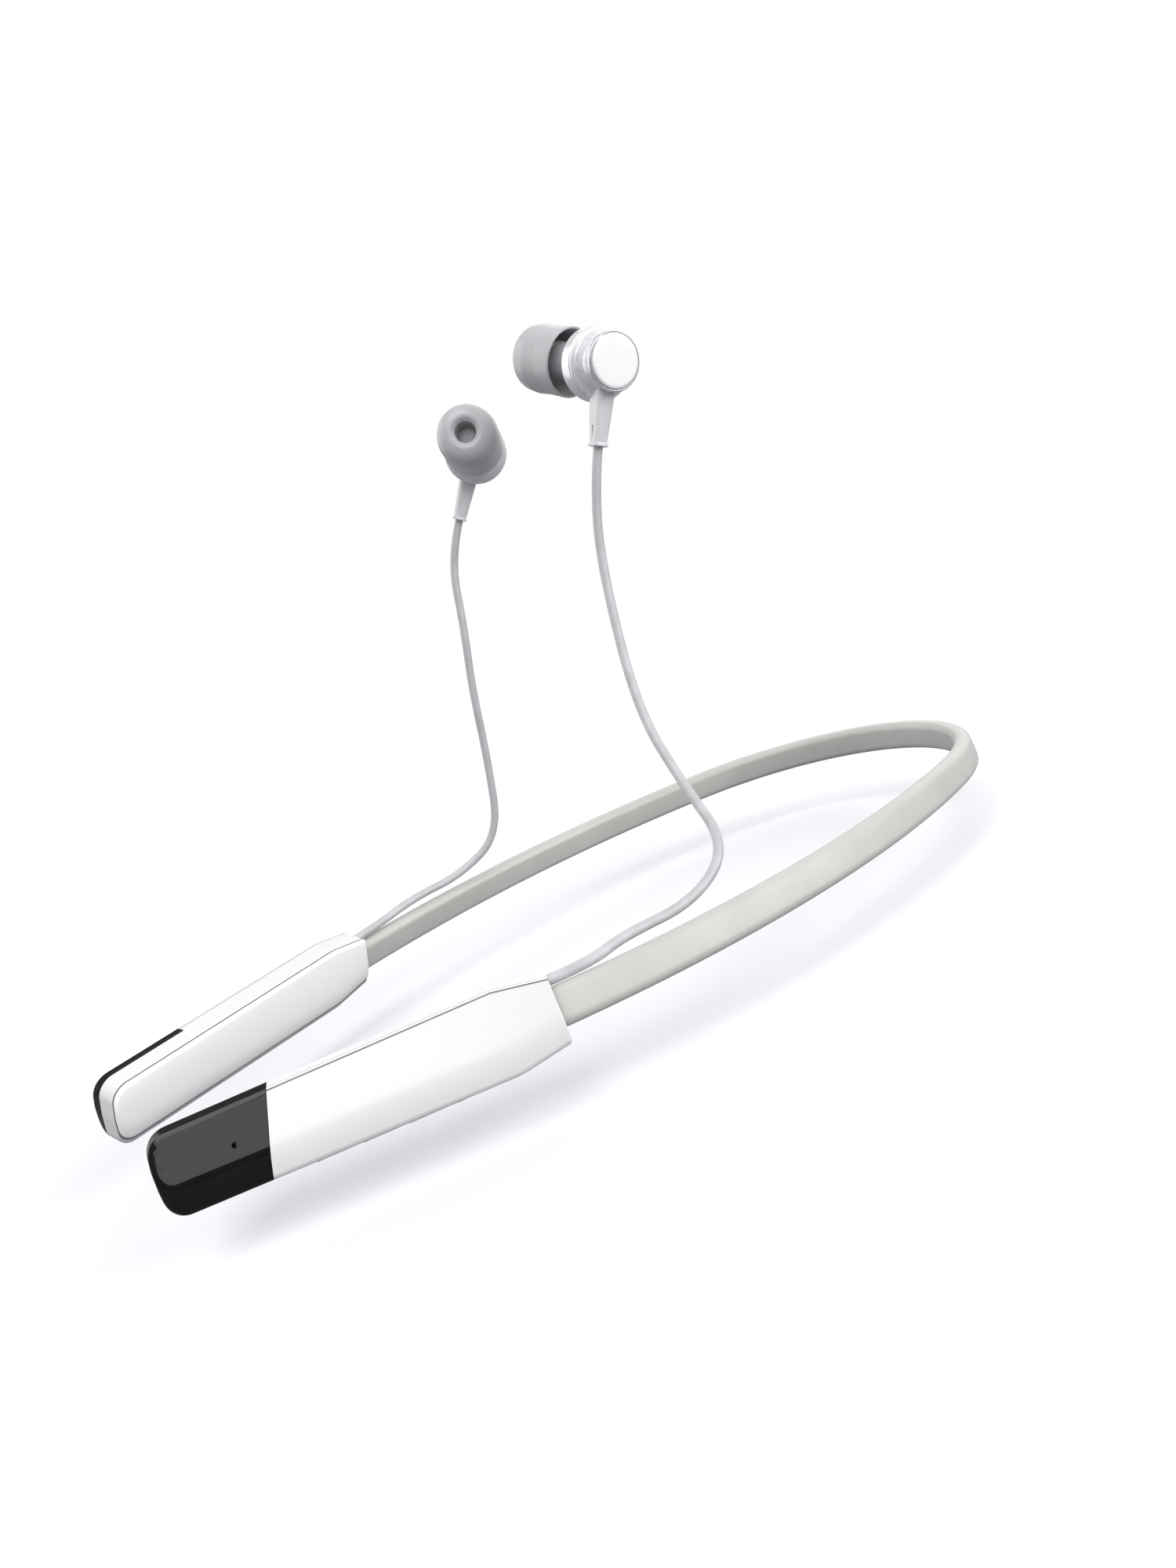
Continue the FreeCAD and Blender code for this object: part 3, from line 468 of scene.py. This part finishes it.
def add_cord(name):
    """Smooth curve through the air that keeps its shape and moves with its pod."""
    length, points = CORDS[name]
    data = bpy.data.curves.new(name + "_cord_line", "CURVE")
    data.dimensions, data.resolution_u = "3D", 24
    data.bevel_depth, data.bevel_resolution = CORD_DIAMETER / 2, 10
    data.use_fill_caps = True
    line = data.splines.new("NURBS")
    line.points.add(len(points) - 1)
    for point, at in zip(line.points, points):
        point.co = (*(c * MM for c in at), 1.0)
    line.order_u = 3
    line.use_endpoint_u = True
    data.materials.append(M["cord_grey"])
    obj = bpy.data.objects.new(name + "_cord_piece", data)
    bpy.context.scene.collection.objects.link(obj)
    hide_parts(name + "_cord")
    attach(obj, name + "_arm")


for cord_side in SIDES:
    add_cord(cord_side)


# ---------------------------------------------------------------- neckband
NAPE_R, NAPE_TURN = 48.3, math.radians(71.6)
SIDE_R, SIDE_TURN = 187.6, math.radians(35.5)
BAND_TAIL = 3.8
BAND_HALF = NAPE_R * NAPE_TURN + SIDE_R * SIDE_TURN + BAND_TAIL
NAPE_LEAN = math.radians(2.6)
LEAN_END = BAND_HALF - 10                    # from here to the tail it leans like the pod
BAND_STEPS = 150
WIRE_RADIUS, CABLE_RADIUS, CORE_SHIFT = 0.6, 0.5, 1.7


def band_point(s):
    """Centre, heading and lean of the left half at s millimetres from the nape."""
    nape = NAPE_R * NAPE_TURN
    t = min(s, nape) / NAPE_R
    at = Vector((NAPE_R * math.sin(t), APEX_Y - NAPE_R * (1 - math.cos(t)), 0))
    if s > nape:
        t2 = NAPE_TURN + min(s - nape, SIDE_R * SIDE_TURN) / SIDE_R
        at += SIDE_R * Vector((math.sin(t2) - math.sin(NAPE_TURN),
                               math.cos(t2) - math.cos(NAPE_TURN), 0))
        t = t2
    rest = s - nape - SIDE_R * SIDE_TURN
    if rest > 0:
        at += Vector((math.cos(t), -math.sin(t), 0)) * rest
    share = min(s / LEAN_END, 1.0)
    return at, t, NAPE_LEAN + (POD_LEAN - NAPE_LEAN) * share


def band_frame(s, side):
    """Centre, outward direction across the thickness, and the leaned height."""
    at, t, lean = band_point(s)
    at = Vector((at.x * side, at.y, at.z))
    out = Vector((math.sin(t) * side, math.cos(t), 0))
    up = Vector((0, 0, 1))
    across = out * math.cos(lean) + up * math.sin(lean)
    return at, across, up * math.cos(lean) - out * math.sin(lean)


def band_half(name, section, side, slot_name, node, offset=(0, 0)):
    """Sweep a section, given as (thickness, height) points, along one half."""
    loops = []
    for k in range(BAND_STEPS + 1):
        at, out, rise = band_frame(BAND_HALF * k / BAND_STEPS, side)
        loops.append([at + out * (x + offset[0]) + rise * (y + offset[1]) for x, y in section])
    obj = piece(name, skin(loops), Matrix.Identity(4), slot_name, None, [node], sharp=50)
    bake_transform(obj)


SHEATH = rounded([(-2.0, -3.7, 1.7), (2.0, -3.7, 1.7), (2.1, 0, 40), (2.0, 3.7, 1.7),
                  (-2.0, 3.7, 1.7), (-2.1, 0, 40)], 8)
for arm_name, arm_side in SIDES.items():
    band_half("band_" + arm_name + "_half", SHEATH, arm_side, "band_silicone", "band_sheath")
    band_half("wire_" + arm_name + "_half", circle(WIRE_RADIUS, 20), arm_side, "wire_steel",
              "memory_wire", (0, -CORE_SHIFT))
    band_half("link_" + arm_name + "_half", circle(CABLE_RADIUS, 20), arm_side, "cable_black",
              "link_cable", (0, CORE_SHIFT))


# ---------------------------------------------------------------- pods
# A pod is a stack of side outlines.  x runs from its rear end to its tip, v up its height
# and u through its thickness, from -HALF_THICK at the neck to HALF_THICK at the outer face.
POD_LENGTH, HALF_THICK = 70.0, 4.0
SHOULDER_X = 10.0                            # where the pod is highest
REAR_HALF, SHOULDER_HALF = 6.35, 8.0
REAR_RISE, TIP_FALL = 1.65, 0.8              # from the rear end up, and down to the tip
SPLIT_U, CAP_U = -2.8, 1.3                   # seats of the inner cover and the glossy cap
COVER_GAP, CAP_GAP, CAP_LIFT = 0.32, 0.06, 0.03
CAP_START, CAP_SLANT = 50.95, 0.27           # x of the cap's edge at mid height, and its slope
SHELL_ROUND, CAP_ROUND, COVER_ROUND = 0.12, 0.14, 0.1
TIP_BULGE = 0.35                             # the tip's middle stands this far past its corners
WALL, NEAR = 1.3, 0.01


def half_height(x):
    """Half the pod's height at x."""
    if x < SHOULDER_X:
        return REAR_HALF + REAR_RISE * x / SHOULDER_X
    return SHOULDER_HALF - TIP_FALL * (x - SHOULDER_X) / (POD_LENGTH - SHOULDER_X)


def inset_at(points, u):
    """Linear reading of a (u, inset) line."""
    if u <= points[0][0]:
        return points[0][1]
    for (u0, a), (u1, b) in zip(points, points[1:]):
        if u <= u1:
            return a if u1 - u0 < 1e-9 else a + (b - a) * (u - u0) / (u1 - u0)
    return points[-1][1]


def profile_line(corners, arc):
    """(u, inset) line through rounded corners, sorted along u."""
    return sorted(rounded(corners, arc, closed=False))


GROOVE_U = (2.55, 2.95)                      # groove along the pod's upper edge
LINE_U, LINE_INSET, LINE_WIDTH = 3.8, 1.25, 0.28   # fine line on the upper facet
# how far each side of the outline draws in at each level u
TOP_LINE = profile_line([(-4.0, 2.2), (-4.0, 0.0, 0.9), (2.5, 0.0, 0.12), (GROOVE_U[0], 0.3),
                         (GROOVE_U[1], 0.3), (3.0, 0.05, 0.02), (4.0, 1.1, 0.3), (4.0, 3.0)], 5)
LOW_LINE = profile_line([(-4.0, 8.0), (-4.0, 4.0, 12.0), (-2.6, 0.6, 1.0), (-2.0, 0.0, 0.9),
                         (2.0, 0.0, 0.9), (2.6, 0.6, 1.0), (4.0, 4.0, 12.0), (4.0, 8.0)], 8)
TIP_LINE = profile_line([(-4.0, 2.0), (-4.0, 0.0, 0.9), (4.0, 0.0, 0.9), (4.0, 2.0)], 5)
REAR_LINE = profile_line([(-4.0, 1.0), (-4.0, 0.0, 0.35), (4.0, 0.0, 0.35), (4.0, 1.0)], 3)


def cap_edge(v):
    """x where the glossy cap begins, at height v."""
    return CAP_START - CAP_SLANT * v


def pod_loop(u, before=None, after=None):
    """Side outline at one level of the thickness, the same count at every level.

    before ends it that far short of the cap's edge, after starts it that far past it.
    """
    top, low, tip, rear = (inset_at(line, u) for line in
                           (TOP_LINE, LOW_LINE, TIP_LINE, REAR_LINE))
    end = POD_LENGTH - tip

    def up(x):
        return half_height(x) - top

    def down(x):
        return -half_height(x) + low

    corner = min(3.6, 0.36 * (up(end) - down(end))) - 0.4 * tip
    edge_top = cap_edge(up(49.0))
    edge_low = cap_edge(down(53.0))
    rear_part = [(SHOULDER_X, down(SHOULDER_X), 12.0), (rear, down(rear), 0.5),
                 (rear, up(rear), 0.5), (SHOULDER_X, up(SHOULDER_X), 12.0)]
    tip_part = [(end - TIP_BULGE, up(end), corner), (end, (up(end) + down(end)) / 2, 8.0),
                (end - TIP_BULGE, down(end), corner)]
    if before is not None:
        line = [(edge_top - before, up(edge_top)), (edge_low - before, down(edge_low))]
        return rounded([line[1]] + rear_part + [line[0]], 6)
    if after is not None:
        line = [(edge_top + after, up(edge_top)), (edge_low + after, down(edge_low))]
        return rounded([line[0]] + tip_part + [line[1]], 10)
    # the whole outline, with a point on either side where the cap's edge crosses it
    return rounded([(edge_low, down(edge_low))] + rear_part + [(edge_top, up(edge_top))]
                   + tip_part, 8)


def bend_levels(low, high):
    """Levels of the thickness where any of the outline's lines bends."""
    found = {low, high}
    for line in (TOP_LINE, LOW_LINE, TIP_LINE, REAR_LINE):
        found |= {round(u, 4) for u, _ in line if low < u < high}
    kept = []
    for u in sorted(found):
        if not kept or u - kept[-1] > 0.02 or u == high:
            kept.append(u)
    return kept


def pod_solid(side, low, high, **kind):
    """Stack of outlines between two levels; Z runs inward on the left."""
    return skin([[(x, v, -u * side) for x, v in pod_loop(u, **kind)]
                 for u in bend_levels(low, high)])


def prism(points, low, high, axis="z"):
    """Straight prism: an outline pushed along one axis."""
    order = {"z": lambda p, t: (p[0], p[1], t), "y": lambda p, t: (p[0], t, p[1]),
             "x": lambda p, t: (t, p[0], p[1])}[axis]
    return skin([[order(p, low) for p in points], [order(p, high) for p in points]])


# openings of the pods: in the rear end, the lower edge and the left cap, whose hole is blind
MOUTH_HALF, MOUTH_DEEP = (5.05, 2.7), (-1.0, 3.6)
NOTCH_RADIUS = 1.08                          # for the cord, above the band
BUTTON_XS, BUTTON_HOLE = (27.0, 35.0, 43.0), (6.3, 2.7)
FLAP_X, FLAP_SEAT, SOCKET_HOLE = 14.0, (10.5, 3.9, 0.5), (8.2, 3.0)
LAMP_X, LAMP_RADIUS = 20.9, 0.65
MIC_X, MIC_RADIUS, MIC_REACH = 56.5, 0.55, (-6, -2.2)
EDGE_OUT, EDGE_IN, FLAP_FLOOR = -9, -5.8, -7.05


def add_pod(name):
    """Shell, glossy cap and inner cover; every opening is made through the shell at once."""
    side = SIDES[name]
    body = name + "_arm"
    place = POD[name]

    # main shell: whole outline up to the cap's seat, then the part behind the cap
    shell = piece(name + "_shell", pod_solid(side, SPLIT_U, CAP_U), place, "pod_white", body,
                  [name + "_outer_shell"], more=["seam_painted_shade"])
    upper = cutter(pod_solid(side, CAP_U - 0.01, HALF_THICK, before=CAP_GAP), place)
    across, deep = MOUTH_HALF
    rear = [(-across, -deep), (across, -deep), (across, deep), (-across, deep)]
    notch = circle(NOTCH_RADIUS, 32, across)
    inside = rounded([(3.2, -5.4, 1), (10, -6.6, 3), (45.0, -6.3, 1), (45.0, 6.3, 1),
                      (10, 6.6, 3), (3.2, 5.4, 1)], 3)
    inside_z = sorted((-side * (SPLIT_U - 0.5), -side * (HALF_THICK - WALL)))
    tip_room = rounded([(44.0, -6.0, 1), (67.8, -5.6, 2.6), (67.8, 5.6, 2.6), (44.0, 6.0, 1)], 4)
    tip_z = sorted((-side * (SPLIT_U - 0.5), -side * 0.6))
    openings = [prism(rear, *MOUTH_DEEP, "x"), prism(notch, *MOUTH_DEEP, "x"),
                prism(inside, *inside_z), prism(tip_room, *tip_z)]
    if name == "left":
        openings += [prism(pill(x, 0, *BUTTON_HOLE), EDGE_OUT, EDGE_IN, "y") for x in BUTTON_XS]
        openings += [prism(plate(FLAP_X, 0, *FLAP_SEAT), EDGE_OUT, FLAP_FLOOR, "y"),
                     prism(pill(FLAP_X, 0, *SOCKET_HOLE), EDGE_OUT, EDGE_IN, "y"),
                     prism(circle(LAMP_RADIUS, 24, LAMP_X), EDGE_OUT, EDGE_IN, "y")]
    stations = (-0.5, 10.0, 60.0)
    line = [(x, half_height(x) - LINE_INSET) for x in stations]
    line += [(x, half_height(x) - LINE_INSET - LINE_WIDTH) for x in reversed(stations)]
    openings.append(prism(line, *sorted((-side * LINE_U, -side * (HALF_THICK + 1.0)))))
    cutters = [cutter(bm, place) for bm in openings]
    cut_away(shell, cutters, [upper])
    finish_edges(shell, SHELL_ROUND)

    # glossy cap, flush with the shell's outer face
    cap = piece(name + "_cap", pod_solid(side, CAP_U + CAP_LIFT, HALF_THICK, after=CAP_GAP),
                place, "cap_black", body, [name + "_end_cap"])
    if name == "left":
        cut_away(cap, [cutter(prism(circle(MIC_RADIUS, 24, MIC_X), *MIC_REACH), place)])
    finish_edges(cap, CAP_ROUND)

    # inner cover, parted from the shell by a fine groove; its white is painted light, a brighter
    # copy of the shell's white that lifts the inner face, which the lamps light less
    cover_u = SPLIT_U - COVER_GAP
    cover = piece(name + "_cover", pod_solid(side, -HALF_THICK, cover_u), place, "pod_white",
                  body, [name + "_inner_cover"], more=["seam_painted_shade"])
    cover.data.materials[0] = M["painted_light_cover"]
    finish_edges(cover, COVER_ROUND)

    # painted shade in the seams: the parting faces, the groove's floor and the fine line's floor
    # get a mid grey that stands in for the shade in them
    for obj, seat in ((shell, SPLIT_U), (cover, cover_u)):
        for face in obj.data.polygons:
            u = -face.center.z * side / MM
            high = face.center.y / MM
            in_groove = GROOVE_U[0] - NEAR < u < GROOVE_U[1] + NEAR and high > 5.0
            in_line = abs(u - LINE_U) < NEAR and high > 3.0
            if abs(u - seat) < NEAR or in_line or (in_groove and abs(face.normal.y) > 0.9):
                face.material_index = 1


for pod_name in SIDES:
    add_pod(pod_name)


# ---------------------------------------------------------------- earbuds
def add_earbud(name):
    """Turned parts on the housing's axis or the nozzle's, from the disc to the tip."""
    place, lean, arm = BUD[name], NOZZLE[name], name + "_arm"
    disc = lathe([(0, -6.05), (5.0, -6.0, 1.2), (5.4, -5.75, 0.3), (5.4, -5.1), (4.4, -5.1),
                  (4.4, -3.7), (0, -3.7)])
    piece(name + "_disc", disc, place, "disc_white", arm, [name + "_back_cap"])
    trim = lathe([(4.6, -5.1), (5.55, -5.1), (5.62, -5.45, 0.1), (5.9, -5.45, 0.15),
                  (6.05, -5.1, 0.2), (6.0, -4.6, 0.15), (4.6, -4.6)], arc=4)
    piece(name + "_trim", trim, place, "trim_chrome", arm, [name + "_trim_ring"])
    rear = lathe([(5.9, -4.58, 0.25), (5.5, -2.6, 2.5), (6.5, -0.45, 0.7), (7.2, -0.25, 0.2),
                  (7.35, 0.0, 0.1), (7.35, 0.38), (5.9, 0.38), (4.9, -2.4, 1.0), (4.6, -4.58)])
    piece(name + "_rear_shell", rear, place, "housing_pearl", arm, [name + "_rear_housing"])
    add_front(name)
    tip = lathe([(2.96, 13.5), (4.05, 13.5, 0.2), (4.1, 19.0, 0.6), (5.7, 18.8, 0.7),
                 (6.3, 15.0, 3.0), (6.75, 10.1, 0.1), (7.28, 10.1, 0.22), (7.05, 14.8, 6.0),
                 (7.2, 18.4, 4.5), (6.6, 22.4, 3.2), (3.45, 23.5, 1.4), (2.45, 22.6, 0.4),
                 (2.45, 20.2, 0.2), (2.96, 19.7)], arc=10)
    piece(name + "_silicone_tip", tip, lean, "tip_silicone", name + "_ear_tip",
          [name + "_ear_tip"])
    screen = lathe([(0, 19.05), (2.13, 19.0, 0.05), (2.13, 19.25, 0.05), (0, 19.35)], arc=3)
    piece(name + "_screen", screen, lean, "screen_mesh", arm, [name + "_nozzle_screen"])
    add_boot(name)


def add_front(name):
    """The wide ring and its shoulder, with the neck and nozzle leaning out of it."""
    place, lean = BUD[name], NOZZLE[name]
    shoulder = lathe([(0, 0.42), (7.3, 0.42), (7.5, 0.6, 0.1), (7.5, 3.9, 1.2),
                      (5.4, 5.3, 1.0), (0, 5.95)])
    front = piece(name + "_front_shell", shoulder, place, "housing_pearl", name + "_arm",
                  [name + "_front_housing"], more=["tip_silicone"])
    neck = cutter(lathe([(0, 3.2), (4.0, 3.2), (4.0, 13.4, 0.3), (2.9, 13.4), (2.9, 19.6, 0.1),
                         (0, 19.6)], 96), lean)
    chamber = cutter(lathe([(0, 0.1), (6.2, 0.1), (6.2, 3.8, 0.8), (0, 4.2)], 96), place)
    bore = cutter(lathe([(0, 3.4), (2.2, 3.4), (2.2, 20.6), (0, 20.6)], 64), lean)
    cut_away(front, [chamber, bore], [neck])
    # the neck and the nozzle are grey, like the tip
    away = lean.inverted() @ place
    for face in front.data.polygons:
        at = away @ face.center / MM
        face.material_index = int(at.z > 4.5 and math.hypot(at.x, at.y) < 4.1)
    finish_edges(front, 0.06)


BOOT_CORNER, BOOT_SHIFT = 0.9, 1.3


def add_boot(name):
    """Tapered sleeve with soft corners, a lip at its end and a fine slot near it."""
    loops = []
    # distance down the boot, depth along the nozzle and width
    stations = [(3.6, 4.3, 5.0), (4.6, 4.2, 4.9), (10.0, 3.7, 4.15), (15.4, 3.05, 3.3),
                (16.0, 3.0, 3.2), (16.05, 3.3, 3.6), (16.15, 3.4, 3.7), (16.6, 3.4, 3.7),
                (16.7, 3.25, 3.55)]
    for x, deep, wide in stations:
        loops.append([(x, y, z - BOOT_SHIFT)
                      for y, z in plate(0, 0, deep, wide, BOOT_CORNER, 6)])
    boot = piece(name + "_sleeve", skin(loops), BUD[name], "boot_grey", name + "_arm",
                 [name + "_boot"])
    slot_cut = prism(plate(13.6, -BOOT_SHIFT, 2.2, 0.5, 0.2), 1.3, 3.0, "y")
    cut_away(boot, [cutter(slot_cut, BUD[name])])
    finish_edges(boot, 0.08)


for bud_name in SIDES:
    add_earbud(bud_name)


# ---------------------------------------------------------------- carried-over nodes
def paint_nodes():
    """Give every CAD node still shown the finish of its material slot."""
    by_node = {
        "grommet_grey": ["left_rear_grommet", "right_rear_grommet"],
        "driver_plastic": ["left_driver_frame", "right_driver_frame"],
        "magnet_steel": ["left_driver_magnet", "right_driver_magnet"],
        "diaphragm_film": ["left_diaphragm", "right_diaphragm"],
        "board_green": ["circuit_board", "battery_board"],
        "chip_black": ["bluetooth_chip", "volume_up_switch", "play_switch",
                       "volume_down_switch", "microphone"],
        "plated_steel": ["shield_can", "board_screw_1", "board_screw_2", "usb_socket",
                         "vibration_motor"],
        "light_lens": ["status_light"],
        "flap_white": ["charge_flap"],
        "button_white": ["volume_up_button", "play_button", "volume_down_button"],
        "battery_foil": ["battery"],
        "foam_black": ["battery_foam"],
    }
    for slot_name, nodes in by_node.items():
        for node in nodes:
            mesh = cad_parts[node].data
            if not mesh.materials:
                mesh.materials.append(M[slot_name])
            for i in range(len(mesh.materials)):
                mesh.materials[i] = M[slot_name]


paint_nodes()


# ---------------------------------------------------------------- stage and light
FLOOR_HALF, FLOOR_Z = 9000.0, -18.5          # low enough for the open charging flap
FLOOR_GLOW = 0.04
DOME_LOW, DOME_HIGH = 0.25, 0.6


def add_floor():
    """A level sheet of pale paper a little below the pods."""
    bm = bmesh.new()
    corners = [bm.verts.new((x * FLOOR_HALF, y * FLOOR_HALF, FLOOR_Z)) for x, y in
               ((-1, -1), (1, -1), (1, 1), (-1, 1))]
    bm.faces.new(corners)
    bmesh.ops.scale(bm, vec=(MM, MM, MM), verts=bm.verts)
    mesh = bpy.data.meshes.new("floor")
    bm.to_mesh(mesh)
    bm.free()
    made = Finish("floor_paper", srgb(222, 223, 226), 0.9, Specular_IOR_Level=0.1)
    made.tone(60.0, srgb(221, 222, 225))
    # seen directly the paper is pale; as a bounce card it gives back about a fifth
    path = made.node("ShaderNodeLightPath")
    mix = made.node("ShaderNodeMix", data_type="RGBA")
    mix.inputs["A"].default_value = srgb(130, 131, 133)
    made.link(made.shader.inputs["Base Color"].links[0].from_socket, mix.inputs["B"])
    made.link(path.outputs["Is Camera Ray"], mix.inputs["Factor"])
    made.link(mix.outputs["Result"], made.shader.inputs["Base Color"])
    made.shader.inputs["Emission Color"].default_value = (1.0, 1.0, 1.0, 1.0)
    made.link(made.ranged(path.outputs["Is Camera Ray"], 0.0, FLOOR_GLOW, 0.0, 1.0),
              made.shader.inputs["Emission Strength"])
    mesh.materials.append(made.mat)
    floor = bpy.data.objects.new("floor", mesh)
    bpy.context.scene.collection.objects.link(floor)


LIGHT_DISTANCE, LIGHT_AIM = 0.9, (0.0, -0.09, 0.03)   # metres


def add_light(kind, name, direction, strength, aim=LIGHT_AIM, size=0.8, angle=30.0):
    """A soft sun, or a square panel of size metres, that shines from direction."""
    data = bpy.data.lights.new(name, kind)
    data.energy = strength
    if kind == "SUN":
        data.angle = math.radians(angle)
    else:
        data.shape, data.size = "SQUARE", size
    light = bpy.data.objects.new(name, data)
    away = Vector(direction).normalized()
    light.location = Vector(aim) + away * LIGHT_DISTANCE
    light.rotation_euler = away.to_track_quat("Z", "Y").to_euler()
    bpy.context.scene.collection.objects.link(light)


def add_world():
    """White behind the object; a dome that is bright above and dim at the horizon."""
    world = bpy.data.worlds.new("studio")
    world.use_nodes = True
    tree = world.node_tree
    dome = tree.nodes["Background"]
    coords = tree.nodes.new("ShaderNodeTexCoord")
    split = tree.nodes.new("ShaderNodeSeparateXYZ")
    tree.links.new(coords.outputs["Generated"], split.inputs["Vector"])
    ramp = tree.nodes.new("ShaderNodeMapRange")
    for key, value in (("From Min", 0.05), ("From Max", 0.75), ("To Min", DOME_LOW),
                       ("To Max", DOME_HIGH)):
        ramp.inputs[key].default_value = value
    tree.links.new(split.outputs["Z"], ramp.inputs["Value"])
    tree.links.new(ramp.outputs["Result"], dome.inputs["Strength"])
    dome.inputs["Color"].default_value = (1.0, 1.0, 1.0, 1.0)
    plain = tree.nodes.new("ShaderNodeBackground")
    plain.inputs["Color"].default_value = (1.0, 1.0, 1.0, 1.0)
    path = tree.nodes.new("ShaderNodeLightPath")
    mix = tree.nodes.new("ShaderNodeMixShader")
    tree.links.new(path.outputs["Is Camera Ray"], mix.inputs["Fac"])
    tree.links.new(dome.outputs["Background"], mix.inputs[1])
    tree.links.new(plain.outputs["Background"], mix.inputs[2])
    tree.links.new(mix.outputs["Shader"], tree.nodes["World Output"].inputs["Surface"])
    bpy.context.scene.world = world


add_floor()
add_world()
add_light("SUN", "top_sun", (0.42, -0.40, 0.81), 1.35, angle=36.0)
add_light("SUN", "fill_sun", (0.82, 0.48, 0.32), 2.3, angle=50.0)
add_light("SUN", "far_sun", (-0.78, -0.50, 0.38), 1.3, angle=60.0)
add_light("SUN", "back_sun", (-0.35, 0.85, 0.40), 0.7, angle=60.0)
add_light("AREA", "side_panel", (0.80, -0.45, 0.41), 1.5, aim=(0.03, -0.19, 0.0), size=0.42)
bpy.context.scene.view_settings.view_transform = "Standard"
bpy.context.scene.view_settings.look = "None"
